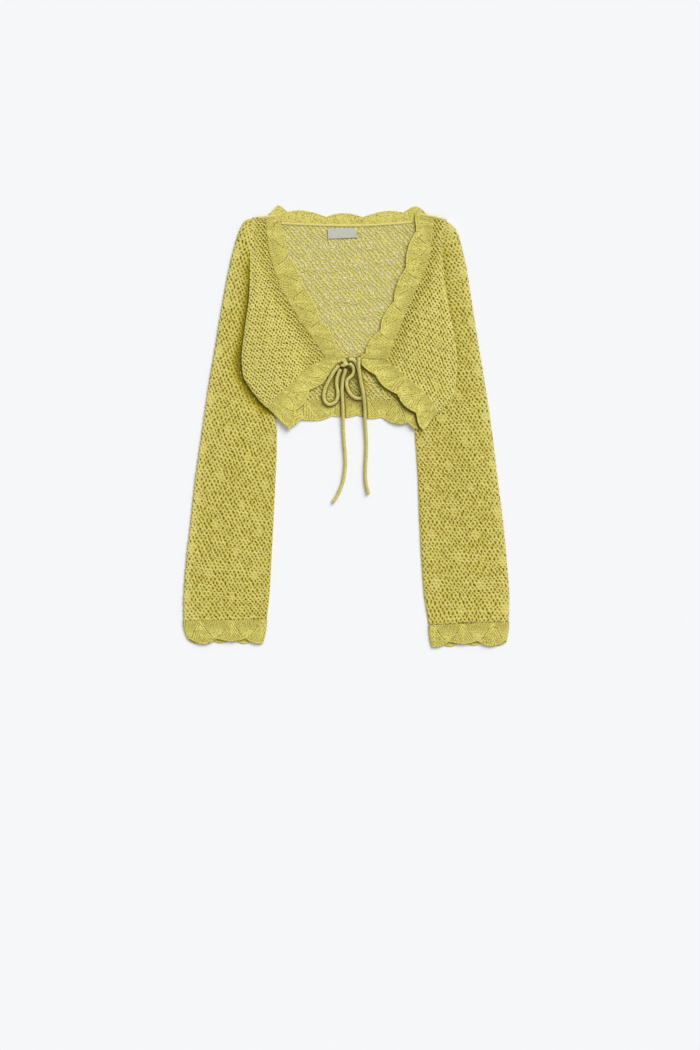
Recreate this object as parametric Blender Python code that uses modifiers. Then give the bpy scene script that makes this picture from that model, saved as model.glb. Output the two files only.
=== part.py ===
"""A cropped open-work cardigan with a tie front, laid flat on its back with the sleeves straight down.

Every table is in millimetres in the garment's own frame: X to the right as seen from above, Y towards the
neck, Z up from the surface it lies on. "left" and "right" are the sides as seen from above. The garment is
cut as a back, two fronts and two tubular sleeves of open mesh, and as eight solid scalloped bands that edge
the neck, the hem and the cuffs. A cord on each front corner is tied in a bow.
"""

import math
from collections import namedtuple

import bmesh
import bpy
import numpy as np
from mathutils import Vector

MM = 0.001
WALL = 1.5  # the knitted cloth
SEAM = 0.3  # the gap between two pieces, side by side or one on the other
CORD = 5.5  # diameter of the knitted tie
LABEL_WALL = 0.8

# ---- the sleeve as it lies: a flat tube, pressed flatter where the body lies on it
FOLD_HEIGHT = 4.2  # at its two folded edges and under the body
CROWN = 1.8  # how much higher its upper wall stands between the folds where it is free
CROWN_FROM, CROWN_TO = 10.0, 34.0  # how far outside the body's edge its upper wall starts and ends rising
CROWN_BELOW = 25.0  # and how far below the body's edge it stays down
RAMP = 60.0  # how far the body takes to come down from the sleeve to the surface
RAMP_CLEAR = 4.0  # how far past the sleeve's edge it starts to
BODY_ON_SLEEVE = FOLD_HEIGHT + SEAM  # underside of the back where it lies on a sleeve
BODY_AT_SHOULDER = 2.2  # and beside the sleeve head, so that front and sleeve are level there
BESIDE, UNDER = 255.0, 200.0  # the sleeve lies beside the body above the first height, under it below the second
TUCK_CURVE = 1.15  # how it goes under from there to the underarm: 1 would be straight
ARMHOLE_ROWS = 4.8  # the armhole's length along the front's outer edge, in rows of its table
LEVEL_RING = 8.0  # the ring of the sleeve from which the rings lie straight across

# ---- how finely each piece is faceted
SCALLOP_CELLS = 4  # along a front and its bands, for each row of the table
FRONT_CELLS, BACK_CELLS, BAND_CELLS = 8, 26, 2  # across each
BACK_ROWS = 15
FLAT_CELLS, FOLD_CELLS = 9, 3  # round a sleeve: across one wall, and round one fold
SLEEVE_RINGS = 20
CUFF_CELLS, CUFF_RINGS = 36, 3
CORD_BEVEL = 2

GREEN = (0.515, 0.463, 0.100)
PALE_GREEN = (0.570, 0.515, 0.135)
GREY = (0.530, 0.540, 0.455)

# A front and its two bands, one row for each notch between two scallops, from the shoulder seam to the
# side seam. outer is the armhole and side edge, join the seam between the mesh and its band, and edge the
# notch itself. depth is how far the next scallop stands out. The neck band ends, and the hem band starts,
# in the row of the centre-front corner.
FrontRow = namedtuple("FrontRow", "outer_x outer_y join_x join_y edge_x edge_y depth")
FRONTS = {
    "left": [
        FrontRow(-140.0, 310.0, -122.0, 312.0, -103.0, 314.0, 2.5),
        FrontRow(-143.0, 265.0, -116.0, 262.0, -88.0, 260.0, 3.0),
        FrontRow(-144.0, 212.0, -99.0, 209.0, -64.0, 211.0, 3.5),
        FrontRow(-149.0, 169.0, -73.0, 164.0, -40.0, 163.0, 3.5),
        FrontRow(-154.5, 130.0, -46.0, 124.0, -16.0, 122.0, 3.0),
        FrontRow(-157.0, 103.0, -32.0, 102.0, -2.0, 98.0, 3.0),
        FrontRow(-154.0, 74.0, -62.0, 86.0, -29.0, 74.0, 5.0),
        FrontRow(-143.0, 55.5, -85.0, 61.0, -55.5, 54.0, 5.5),
        FrontRow(-132.0, 40.5, -103.5, 46.0, -76.0, 24.0, 6.0),
        FrontRow(-121.0, 29.0, -117.0, 27.0, -86.0, -4.0, 0.0),
    ],
    "right": [
        FrontRow(149.0, 307.5, 130.0, 311.0, 103.0, 319.0, 1.5),
        FrontRow(143.0, 280.0, 129.0, 289.0, 104.0, 292.0, 6.0),
        FrontRow(144.0, 238.0, 121.0, 241.0, 89.0, 238.0, 5.5),
        FrontRow(151.0, 190.0, 97.5, 191.0, 71.0, 188.0, 6.0),
        FrontRow(160.0, 145.0, 79.0, 145.0, 51.0, 145.0, 6.0),
        FrontRow(165.0, 112.0, 65.0, 109.0, 28.5, 110.0, 1.0),
        FrontRow(166.0, 98.0, 59.0, 99.0, 16.5, 101.0, 4.0),
        FrontRow(165.0, 73.0, 77.0, 85.0, 44.0, 76.5, 5.5),
        FrontRow(160.5, 46.0, 104.0, 62.0, 76.0, 48.0, 5.5),
        FrontRow(147.0, 29.0, 125.0, 40.5, 104.0, 20.0, 5.0),
        FrontRow(138.0, 20.0, 136.0, 22.5, 116.0, -6.0, 0.0),
    ],
}
CORNER_ROW = {"left": 5, "right": 6}
INWARD = {"left": 1.0, "right": -1.0}

# The back's courses, from the neck seam to the hem seam: their height at each side, and how far the course
# dips between them.
BackRow = namedtuple("BackRow", "left_y right_y dip")
BACK = [
    BackRow(309.0, 307.0, 7.0),
    BackRow(265.0, 265.0, 4.0),
    BackRow(212.0, 212.0, 2.0),
    BackRow(160.0, 160.0, 0.0),
    BackRow(103.0, 103.0, 0.0),
    BackRow(40.0, 40.0, 0.0),
]

# The two bands on the back: join is the seam to the mesh, edge the notch between two scallops.
BandRow = namedtuple("BandRow", "join_x join_y edge_x edge_y depth")
NECK_BAND_BACK = [
    BandRow(-122.0, 309.5, -122.0, 317.5, 10.0),
    BandRow(-88.0, 304.5, -88.0, 321.5, 5.0),
    BandRow(-31.0, 302.0, -31.0, 314.5, 6.5),
    BandRow(24.5, 301.5, 24.5, 314.0, 5.0),
    BandRow(83.0, 303.5, 83.0, 322.5, 10.5),
    BandRow(130.0, 307.0, 130.0, 315.5, 0.0),
]
HEM_BAND_BACK = [
    BandRow(-129.5, 39.5, -88.5, -0.5, 4.0),
    BandRow(-89.0, 39.5, -67.0, 10.5, 6.0),
    BandRow(-37.0, 39.5, -22.0, 16.0, 4.0),
    BandRow(8.0, 39.5, 16.0, 17.0, 4.5),
    BandRow(53.0, 39.5, 53.0, 14.0, 6.0),
    BandRow(101.0, 39.5, 92.0, 5.5, 5.0),
    BandRow(155.0, 39.5, 114.5, -3.5, 0.0),
]

# A sleeve's rings, from the armhole to the cuff seam: where its outer and its inner fold lie.
RingRow = namedtuple("RingRow", "outer_x outer_y inner_x inner_y")
SLEEVES = {
    "left": [
        RingRow(-140.0, 310.0, -118.0, 106.0),
        RingRow(-155.0, 304.0, -117.0, 99.0),
        RingRow(-164.0, 286.0, -115.5, 90.0),
        RingRow(-171.0, 262.0, -113.5, 78.0),
        RingRow(-179.0, 227.0, -111.0, 63.0),
        RingRow(-188.0, 178.0, -108.0, 43.0),
        RingRow(-197.5, 121.0, -105.5, 20.0),
        RingRow(-208.0, 58.0, -104.0, -7.0),
        RingRow(-218.0, -11.0, -104.0, -38.0),
        RingRow(-227.0, -74.0, -106.0, -80.0),
        RingRow(-234.5, -142.0, -109.0, -142.0),
        RingRow(-241.0, -200.0, -112.0, -200.0),
        RingRow(-245.0, -253.0, -115.0, -254.0),
        RingRow(-245.0, -291.0, -119.0, -288.5),
    ],
    "right": [
        RingRow(149.0, 307.5, 122.0, 110.0),
        RingRow(163.5, 296.0, 121.0, 102.0),
        RingRow(170.5, 281.0, 119.5, 92.0),
        RingRow(176.5, 258.0, 117.0, 79.0),
        RingRow(183.0, 226.0, 113.5, 63.0),
        RingRow(190.5, 175.0, 109.0, 43.0),
        RingRow(199.5, 119.0, 104.0, 20.0),
        RingRow(209.5, 58.0, 102.0, -7.0),
        RingRow(219.5, -11.0, 104.5, -38.0),
        RingRow(227.0, -74.0, 107.0, -80.0),
        RingRow(235.5, -142.0, 109.0, -142.0),
        RingRow(241.0, -200.0, 112.0, -200.0),
        RingRow(245.0, -253.0, 116.0, -254.0),
        RingRow(244.0, -292.5, 123.0, -297.5),
    ],
}

# A cuff's notch line, from its outer to its inner fold.
CUFF_ENDS = {
    "left": RingRow(-237.0, -318.5, -125.0, -318.0),
    "right": RingRow(240.0, -321.0, 127.0, -323.0),
}
CUFF_DEPTHS = (8.0, 4.0, 8.0, 7.5, 6.5, 7.5)  # of the scallops round a cuff, upper wall first
CUFF_ON_TOP = 2.75  # how many of them lie on the upper wall

# Where the upper cloth stands off what it lies on: soft hills, by centre, reach and height.
Hill = namedtuple("Hill", "x y reach_x reach_y height")
HILLS = [
    Hill(-112.0, 135.0, 52.0, 95.0, 2.2),
    Hill(118.0, 140.0, 58.0, 95.0, 2.2),
    Hill(-85.0, 55.0, 60.0, 40.0, 1.2),
    Hill(92.0, 40.0, 52.0, 48.0, 2.4),
    Hill(88.0, 235.0, 45.0, 75.0, 1.2),
    Hill(52.0, 140.0, 38.0, 50.0, 1.0),
]

LABEL_CORNERS = ((-28.0, 281.0), (16.0, 283.0), (14.0, 298.0), (-28.5, 296.5))

# The bow: a knot, and the centre line of each length of cord that leaves it.
KNOT_CENTRE = (-3.5, 94.5, 7.8)
KNOT_HALF_SIZE = (6.5, 5.5, 4.2)
CordPoint = namedtuple("CordPoint", "x y z")
CORDS = {
    "loop_left": [
        CordPoint(-11.2, 91.2, 7.6),
        CordPoint(-15.8, 85.8, 7.3),
        CordPoint(-20.0, 80.0, 6.9),
        CordPoint(-24.0, 73.0, 6.4),
        CordPoint(-28.0, 65.5, 5.4),
        CordPoint(-31.4, 58.5, 4.8),
        CordPoint(-33.4, 51.0, 4.7),
        CordPoint(-33.9, 44.0, 4.7),
        CordPoint(-32.3, 38.0, 4.7),
        CordPoint(-28.9, 34.0, 4.7),
        CordPoint(-24.0, 32.8, 4.7),
        CordPoint(-19.0, 34.8, 4.7),
        CordPoint(-15.2, 39.0, 4.7),
        CordPoint(-13.2, 45.0, 4.7),
        CordPoint(-13.2, 52.0, 4.7),
        CordPoint(-14.4, 58.5, 4.7),
        CordPoint(-15.0, 65.0, 4.8),
        CordPoint(-14.3, 72.0, 5.2),
        CordPoint(-12.2, 78.5, 6.2),
        CordPoint(-9.0, 85.6, 7.4),
    ],
    "loop_right": [
        CordPoint(4.2, 93.4, 8.0),
        CordPoint(7.6, 91.6, 7.2),
        CordPoint(10.2, 87.5, 6.0),
        CordPoint(10.8, 82.0, 5.0),
        CordPoint(8.9, 77.0, 4.7),
        CordPoint(5.0, 73.3, 4.7),
        CordPoint(1.5, 70.0, 4.7),
        CordPoint(0.2, 65.5, 4.7),
        CordPoint(0.6, 60.0, 4.7),
        CordPoint(2.4, 54.5, 4.7),
        CordPoint(5.6, 49.0, 4.7),
        CordPoint(10.4, 44.6, 4.7),
        CordPoint(16.0, 42.2, 4.7),
        CordPoint(21.5, 42.4, 4.7),
        CordPoint(25.2, 46.0, 4.7),
        CordPoint(25.0, 52.0, 4.7),
        CordPoint(23.0, 60.0, 4.7),
        CordPoint(21.0, 69.0, 4.7),
        CordPoint(19.4, 78.0, 4.7),
        CordPoint(17.6, 87.0, 5.0),
        CordPoint(14.6, 94.5, 6.0),
        CordPoint(9.6, 99.6, 7.2),
        CordPoint(3.6, 100.4, 8.0),
    ],
    "tail_left": [
        CordPoint(-1.2, 86.0, 7.6),
        CordPoint(-2.8, 80.0, 6.6),
        CordPoint(-5.2, 72.0, 5.2),
        CordPoint(-6.4, 62.0, 4.7),
        CordPoint(-6.6, 52.0, 4.7),
        CordPoint(-6.0, 40.0, 4.7),
        CordPoint(-5.2, 26.0, 4.6),
        CordPoint(-5.0, 11.0, 4.2),
        CordPoint(-4.5, -7.0, 3.1),
        CordPoint(-3.5, -25.0, 2.85),
        CordPoint(-2.0, -41.0, 2.85),
        CordPoint(-1.5, -56.0, 2.85),
        CordPoint(-3.0, -70.0, 2.85),
        CordPoint(-5.0, -82.0, 2.85),
        CordPoint(-8.5, -92.0, 2.85),
        CordPoint(-13.5, -103.0, 2.85),
        CordPoint(-20.0, -113.0, 2.85),
    ],
    "tail_right": [
        CordPoint(18.5, 102.5, 8.6),
        CordPoint(18.4, 96.0, 10.6),
        CordPoint(18.6, 88.0, 11.0),
        CordPoint(19.6, 79.0, 10.8),
        CordPoint(21.0, 70.0, 10.7),
        CordPoint(22.8, 61.0, 10.7),
        CordPoint(24.8, 52.0, 10.7),
        CordPoint(26.0, 44.0, 10.2),
        CordPoint(27.0, 35.0, 7.8),
        CordPoint(27.5, 25.0, 5.2),
        CordPoint(28.0, 10.0, 4.5),
        CordPoint(29.0, -7.0, 3.1),
        CordPoint(30.0, -25.0, 2.85),
        CordPoint(29.5, -43.0, 2.85),
        CordPoint(28.5, -61.0, 2.85),
        CordPoint(28.5, -77.0, 2.85),
        CordPoint(30.0, -89.0, 2.85),
        CordPoint(33.0, -100.5, 2.85),
    ],
}
CORD_STEP = 6.0  # between two sections of a cord


# ---- curves and tables

def blend(a, b, share):
    return a + (b - a) * share


def smooth(low, high, value):
    """0 up to low, 1 from high, and an even S between."""
    share = min(max((value - low) / (high - low), 0.0), 1.0)
    return share * share * (3.0 - 2.0 * share)


def along(values, t):
    """The value at t on a smooth curve through the values, which lie at t = 0, 1, 2 and so on."""
    last = len(values) - 1
    i = min(max(int(math.floor(t)), 0), last - 1)
    f = t - i
    before = values[i - 1] if i > 0 else 2 * values[i] - values[i + 1]
    after = values[i + 2] if i + 2 <= last else 2 * values[i + 1] - values[i]
    here, there = values[i], values[i + 1]
    return here + 0.5 * f * (
        there - before
        + f * (2 * before - 5 * here + 4 * there - after)
        + f * f * (3 * (here - there) + after - before)
    )


def point_along(rows, columns, t):
    return Vector([along([getattr(row, column) for row in rows], t) for column in columns])


def scallop(t):
    """How far the edge stands out at t, as a share of the scallop's depth: 0 at each whole number."""
    return abs(math.sin(math.pi * t))


# ---- the lie of the garment

def outer_edge(side, t):
    return point_along(FRONTS[side], ("outer_x", "outer_y"), t)


def armhole(side, share):
    """The sleeve's edge at the armhole: along the body's edge, then tucked under it to the underarm."""
    body = outer_edge(side, ARMHOLE_ROWS * share)
    underarm = SLEEVES[side][0]
    tuck = min(max((UNDER - body.y) / (UNDER - underarm.inner_y), 0.0), 1.0) ** TUCK_CURVE
    x = blend(body.x - INWARD[side] * SEAM, underarm.inner_x, tuck)
    return Vector((x, body.y))


def sampled(curve, start, end, steps):
    """x as a function of y along a curve, as two lists in rising y."""
    points = sorted((curve(blend(start, end, i / steps)) for i in range(steps + 1)), key=lambda p: p.y)
    return [p.y for p in points], [p.x for p in points]


def sleeve_inner_fold(side):
    """x by y of the sleeve's edge on the body's side: its armhole, then its inner fold."""
    ys, xs = sampled(lambda share: armhole(side, share), 1.0, 0.0, 40)
    fold = [(row.inner_y, row.inner_x) for row in SLEEVES[side][1:]]
    return [y for y, _ in fold[::-1]] + ys, [x for _, x in fold[::-1]] + xs


INNER_FOLD = {side: sleeve_inner_fold(side) for side in FRONTS}
BODY_EDGE = {
    side: sampled(lambda t, side=side: outer_edge(side, t), 0.0, len(FRONTS[side]) - 1.0, 80)
    for side in FRONTS
}


def body_edge_x(side, y):
    ys, xs = BODY_EDGE[side]
    return float(np.interp(y, ys, xs))


def body_height(x, y):
    """The underside of the back: on the surface in the middle, and over each sleeve at the sides."""
    height = 0.0
    over = blend(BODY_ON_SLEEVE, BODY_AT_SHOULDER, smooth(UNDER, BESIDE, y))
    for side in FRONTS:
        ys, xs = INNER_FOLD[side]
        past = INWARD[side] * (x - float(np.interp(y, ys, xs)))
        height = max(height, over * (1.0 - smooth(RAMP_CLEAR, RAMP_CLEAR + RAMP, past)))
    return height


def loft(x, y):
    """How far the upper cloth stands off the back."""
    total = 0.0
    for hill in HILLS:
        distance = math.hypot((x - hill.x) / hill.reach_x, (y - hill.y) / hill.reach_y)
        total += hill.height * (1.0 - smooth(0.0, 1.0, distance))
    return total


def front_height(x, y):
    return body_height(x, y) + WALL + SEAM + loft(x, y)


def sleeve_crown(side, x, y, share):
    """How much higher than its folds the sleeve's upper wall is, a share of the way across it."""
    outside = min(INWARD[side] * (body_edge_x(side, y + up) - x) for up in (0.0, 0.5 * CROWN_BELOW, CROWN_BELOW))
    free = max(smooth(CROWN_FROM, CROWN_TO, outside), smooth(UNDER, BESIDE, y))
    return CROWN * free * max(math.sin(math.pi * share), 0.0) ** 0.7


# ---- the surface of each piece, as points of its underside

def seam_and_edge(rows, t):
    """Where a band's seam to the mesh and its notch line lie at t."""
    return point_along(rows, ("join_x", "join_y"), t), point_along(rows, ("edge_x", "edge_y"), t)


def front_point(side, across, t):
    """across is 0 at the armhole or side seam and 1 at the band; t follows the rows."""
    rows, corner = FRONTS[side], CORNER_ROW[side]
    if t <= corner:
        join, edge = seam_and_edge(rows[: corner + 1], t)
    else:
        join, edge = seam_and_edge(rows[corner:], t - corner)
    place = outer_edge(side, t).lerp(join - (edge - join).normalized() * SEAM, across)
    return place.x, place.y, front_height(place.x, place.y)


def band_place(rows, across, t):
    """across is 0 at the seam to the mesh and 1 at the scalloped edge."""
    join, edge = seam_and_edge(rows, t)
    depth = rows[min(int(t), len(rows) - 2)].depth
    out = (edge - join).normalized()
    return join.lerp(edge, across) + out * depth * scallop(t) * across


def back_point(across, t):
    left_y = along([row.left_y for row in BACK], t)
    right_y = along([row.right_y for row in BACK], t)
    left_x = body_edge_x("left", left_y) + SEAM
    right_x = body_edge_x("right", right_y) - SEAM
    dip = along([row.dip for row in BACK], t) * math.sin(math.pi * across) ** 0.6
    x = blend(left_x, right_x, across)
    y = blend(left_y, right_y, across) - dip
    return x, y, body_height(x, y)


def ring_place(side, share, t):
    """A point of a sleeve's ring in plan, a share of the way from its outer to its inner fold."""
    rows = SLEEVES[side]
    ends = point_along(rows, ("outer_x", "outer_y"), t), point_along(rows, ("inner_x", "inner_y"), t)
    first = Vector((rows[0].outer_x, rows[0].outer_y)), Vector((rows[0].inner_x, rows[0].inner_y))
    bow = armhole(side, share) - first[0].lerp(first[1], share)
    return ends[0].lerp(ends[1], share) + bow * (1.0 - smooth(0.0, LEVEL_RING, t))


def section(cell, width):
    """Round a flat tube, cell by cell: the share across from the outer fold, the height in it (0 on the
    surface, 1 on top) and 1 on the upper wall. It starts at the outer fold, on the underside."""
    radius = FOLD_HEIGHT / 2 / width
    around = cell % (2 * (FLAT_CELLS + FOLD_CELLS))
    upper = around >= FLAT_CELLS + FOLD_CELLS
    if upper:
        around -= FLAT_CELLS + FOLD_CELLS
    if around <= FLAT_CELLS:
        share, rise = blend(radius, 1.0 - radius, around / FLAT_CELLS), 0.0
    else:
        angle = math.pi * (around - FLAT_CELLS) / FOLD_CELLS
        share, rise = 1.0 - radius + radius * math.sin(angle), 0.5 - 0.5 * math.cos(angle)
    return (1.0 - share, 1.0 - rise, upper) if upper else (share, rise, upper)


def sleeve_point(side, cell, t):
    width = (ring_place(side, 0.0, t) - ring_place(side, 1.0, t)).length
    share, rise, _ = section(cell, width)
    place = ring_place(side, share, t)
    crown = sleeve_crown(side, place.x, place.y, share) * smooth(0.5, 1.0, rise)
    return place.x, place.y, FOLD_HEIGHT * rise + crown


def cuff_point(side, cell, down):
    """down is 0 at the seam to the sleeve and 1 at the scalloped edge."""
    last, end = SLEEVES[side][-1], CUFF_ENDS[side]
    width = abs(last.outer_x - last.inner_x)
    share, rise, upper = section(cell, width)
    start = Vector((blend(last.outer_x, last.inner_x, share), blend(last.outer_y, last.inner_y, share) - SEAM))
    finish = Vector((blend(end.outer_x, end.inner_x, share), blend(end.outer_y, end.inner_y, share)))
    if upper:
        turn = CUFF_ON_TOP * share
    else:
        turn = blend(len(CUFF_DEPTHS), CUFF_ON_TOP, share)
    depth = CUFF_DEPTHS[min(int(turn), len(CUFF_DEPTHS) - 1)]
    finish.y -= depth * scallop(turn)
    place = start.lerp(finish, down)
    place.x = blend(start.x, finish.x, down * down)
    crown = CROWN * max(math.sin(math.pi * share), 0.0) ** 0.7 * smooth(0.5, 1.0, rise)
    return place.x, place.y, FOLD_HEIGHT * rise + crown


# ---- Blender objects

def material(name, colour, roughness):
    made = bpy.data.materials.new(name)
    made.use_nodes = True
    shader = made.node_tree.nodes["Principled BSDF"]
    shader.inputs["Base Color"].default_value = (*colour, 1.0)
    shader.inputs["Roughness"].default_value = roughness
    shader.inputs["Metallic"].default_value = 0.0
    made.diffuse_color = (*colour, 1.0)
    return made


def add_object(name, mesh, finish):
    made = bpy.data.objects.new(name, mesh)
    made.data.materials.append(finish)
    bpy.data.collections[COLLECTION].objects.link(made)
    return made


def faces_down(shape, tube):
    """Whether a sheet's faces look down or, on a tube, whether those of its upper wall do."""
    middle = FOLD_HEIGHT / 2 * MM
    upper = [face for face in shape.faces if not tube or face.calc_center_median().z > middle]
    return sum(face.normal.z * face.calc_area() for face in upper) < 0


def cloth(name, place, cells, spans, finish, wall=WALL, tube=False):
    """A wall of cloth: a grid whose two parameters run over spans, put in place by a function of them. A
    sheet's wall stands up from its underside, and a tube's goes in from its outside."""
    shape = bmesh.new()
    bmesh.ops.create_grid(shape, x_segments=cells[0], y_segments=cells[1], size=0.5)
    for vert in shape.verts:
        u = blend(spans[0][0], spans[0][1], vert.co.x + 0.5)
        v = blend(spans[1][0], spans[1][1], vert.co.y + 0.5)
        vert.co = Vector(place(u, v)) * MM
    if tube:
        bmesh.ops.remove_doubles(shape, verts=shape.verts, dist=1e-6)
    shape.normal_update()
    if faces_down(shape, tube):
        bmesh.ops.reverse_faces(shape, faces=shape.faces)
    mesh = bpy.data.meshes.new(name)
    shape.to_mesh(mesh)
    shape.free()
    made = add_object(name, mesh, finish)
    solid = made.modifiers.new("wall", "SOLIDIFY")
    solid.thickness = wall * MM
    solid.offset = -1.0 if tube else 1.0
    return made


def band(name, rows, height, finish, meets_at=None):
    """A scalloped band. Where it meets another band in a row of the table, it ends just before that row."""
    scallops = len(rows) - 1
    span = [0.0, float(scallops)]
    if meets_at == "end":
        span[1] -= SEAM / (seam_and_edge(rows, scallops)[0] - seam_and_edge(rows, scallops - 1)[0]).length
    if meets_at == "start":
        span[0] += SEAM / (seam_and_edge(rows, 1)[0] - seam_and_edge(rows, 0)[0]).length

    def place(t, across):
        spot = band_place(rows, across, t)
        return spot.x, spot.y, height(spot.x, spot.y)

    return cloth(name, place, (scallops * SCALLOP_CELLS, BAND_CELLS), (span, (0.0, 1.0)), finish)


def fronts_and_bands(mesh_knit, solid_knit):
    for side, rows in FRONTS.items():
        corner, last = CORNER_ROW[side], len(rows) - 1
        cloth(
            f"front_{side}",
            lambda across, t, side=side: front_point(side, across, t),
            (FRONT_CELLS, last * SCALLOP_CELLS),
            ((0.0, 1.0), (0.0, float(last))),
            mesh_knit,
        )
        neck = [BandRow(*row[2:]) for row in rows[: corner + 1]]
        hem = [BandRow(*row[2:]) for row in rows[corner:]]
        band(f"neck_band_{side}", neck, front_height, solid_knit, meets_at="end")
        band(f"hem_band_{side}", hem, front_height, solid_knit, meets_at="start")


def back_and_bands(mesh_knit, solid_knit):
    cloth("back", back_point, (BACK_CELLS, BACK_ROWS), ((0.0, 1.0), (0.0, float(len(BACK) - 1))), mesh_knit)
    band("neck_band_back", NECK_BAND_BACK, body_height, solid_knit)
    band("hem_band_back", HEM_BAND_BACK, body_height, solid_knit)


def sleeves_and_cuffs(mesh_knit, solid_knit):
    around = 2 * (FLAT_CELLS + FOLD_CELLS)
    for side, rows in SLEEVES.items():
        cloth(
            f"sleeve_{side}",
            lambda cell, t, side=side: sleeve_point(side, cell, t),
            (around, SLEEVE_RINGS),
            ((0.0, around), (0.0, len(rows) - 1.0)),
            mesh_knit,
            tube=True,
        )
        cloth(
            f"cuff_{side}",
            lambda cell, down, side=side: cuff_point(side, cell, down),
            (CUFF_CELLS, CUFF_RINGS),
            ((0.0, around), (0.0, 1.0)),
            solid_knit,
            tube=True,
        )


def label(finish):
    corners = [Vector(corner) for corner in LABEL_CORNERS]

    def place(u, v):
        spot = corners[0].lerp(corners[1], u).lerp(corners[3].lerp(corners[2], u), v)
        return spot.x, spot.y, body_height(spot.x, spot.y) + WALL + SEAM

    cloth("label", place, (4, 2), ((0.0, 1.0), (0.0, 1.0)), finish, wall=LABEL_WALL)


def cord(name, route, finish):
    """A tube on a smooth curve through the route's points."""
    fine = [point_along(route, ("x", "y", "z"), i * (len(route) - 1) / 400) for i in range(401)]
    length = [0.0]
    for before, after in zip(fine, fine[1:]):
        length.append(length[-1] + (after - before).length)
    steps = round(length[-1] / CORD_STEP)
    curve = bpy.data.curves.new(name, "CURVE")
    curve.dimensions = "3D"
    curve.bevel_depth = CORD / 2 * MM
    curve.bevel_resolution = CORD_BEVEL
    curve.use_fill_caps = True
    line = curve.splines.new("POLY")
    line.points.add(steps)
    for i, point in enumerate(line.points):
        at = np.interp(i * length[-1] / steps, length, range(len(fine)))
        low = min(int(at), len(fine) - 2)
        point.co = (*(fine[low].lerp(fine[low + 1], at - low) * MM), 1.0)
    add_object(name, curve, finish)


def bow(finish):
    shape = bmesh.new()
    bmesh.ops.create_uvsphere(shape, u_segments=14, v_segments=9, radius=1.0)
    for vert in shape.verts:
        vert.co = [(c + size * part) * MM for c, size, part in zip(KNOT_CENTRE, KNOT_HALF_SIZE, vert.co)]
    mesh = bpy.data.meshes.new("bow_knot")
    shape.to_mesh(mesh)
    shape.free()
    add_object("bow_knot", mesh, finish)
    for name, route in CORDS.items():
        cord(name, route, finish)


COLLECTION = "cropped_cardigan"


def main():
    for old in list(bpy.data.objects):
        bpy.data.objects.remove(old, do_unlink=True)
    bpy.context.scene.collection.children.link(bpy.data.collections.new(COLLECTION))
    mesh_knit = material("open mesh knit", GREEN, 0.85)
    solid_knit = material("solid knit", PALE_GREEN, 0.85)
    woven = material("woven label", GREY, 0.6)
    sleeves_and_cuffs(mesh_knit, solid_knit)
    back_and_bands(mesh_knit, solid_knit)
    fronts_and_bands(mesh_knit, solid_knit)
    label(woven)
    bow(solid_knit)


main()
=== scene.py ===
"""A cropped open-work cardigan with a tie front, laid flat on its back: its yarn, open mesh, scalloped bands,
seams, label and tie.

Lengths are in millimetres until a mesh is made. X is to the right as seen from above, Y towards the neck and
Z up from the table. "left" and "right" are as seen from above. The open mesh is made as a knitter makes it:
one flat piece of stitches in staggered courses, which is then laid on its panel and trimmed to the panel's
cut.
"""

import math
from collections import namedtuple

import bmesh
import bpy
import numpy as np
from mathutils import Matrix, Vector


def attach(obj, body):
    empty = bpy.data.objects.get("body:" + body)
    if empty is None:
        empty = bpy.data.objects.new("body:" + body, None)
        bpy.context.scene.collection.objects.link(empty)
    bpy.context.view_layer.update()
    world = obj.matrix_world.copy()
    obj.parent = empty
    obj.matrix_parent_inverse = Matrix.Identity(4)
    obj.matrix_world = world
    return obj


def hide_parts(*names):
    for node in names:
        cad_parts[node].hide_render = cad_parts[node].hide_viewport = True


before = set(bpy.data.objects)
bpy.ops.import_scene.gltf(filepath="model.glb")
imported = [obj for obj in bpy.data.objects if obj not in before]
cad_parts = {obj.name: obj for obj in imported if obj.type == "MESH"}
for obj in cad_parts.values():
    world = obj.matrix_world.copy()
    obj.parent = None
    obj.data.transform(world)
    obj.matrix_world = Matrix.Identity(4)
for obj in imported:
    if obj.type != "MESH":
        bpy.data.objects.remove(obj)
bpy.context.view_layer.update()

MM = 0.001

# ---- the photograph's frame, the floor and the light
PHOTO_WIDTH, PHOTO_HEIGHT = 700, 1050
MM_PER_PIXEL = 1.5
ORIGIN_PIXEL = (346.5, 426.5)  # the garment's origin in the photograph
CAMERA_HEIGHT = 4000
SENSOR = 36
SKY_LIGHT, SUN_LIGHT = 0.5, 0.52  # shares of the light on the floor
SUN_FROM = (0.45, 0.6, 0.68)  # a broad window, above and to the right
SUN_SPREAD = 36
FLOOR_REACH = 6  # metres

# ---- the cloth
WALL = 1.5
SEAM = 0.3  # the gap between two pieces, side by side or one on the other
FOLD_HEIGHT = 4.2  # of a sleeve at its folds
CROWN = 1.3  # how much higher its upper wall stands between them, where it is free
CROWN_FROM, CROWN_TO = 10, 34  # how far outside the body's edge its upper wall starts and ends rising
CROWN_BELOW = 25  # and how far below the body's edge it stays down
RAMP, RAMP_CLEAR = 60, 4  # how wide the body's slope is, from a sleeve to the table, and how far in it starts
BODY_ON_SLEEVE, BODY_AT_SHOULDER = FOLD_HEIGHT + SEAM, 2.2
BESIDE, UNDER = 255, 200  # above the first the sleeves lie beside the body, and below the second under it
TUCK_CURVE = 1.15  # over 1, the armhole turns in slowly at first
ARMHOLE_ROWS = 4.8  # how many rows of a front the armhole takes up
CORD = 5.5


def rows_of(kind, *rows):
    return [kind(*row) for row in rows]


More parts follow.
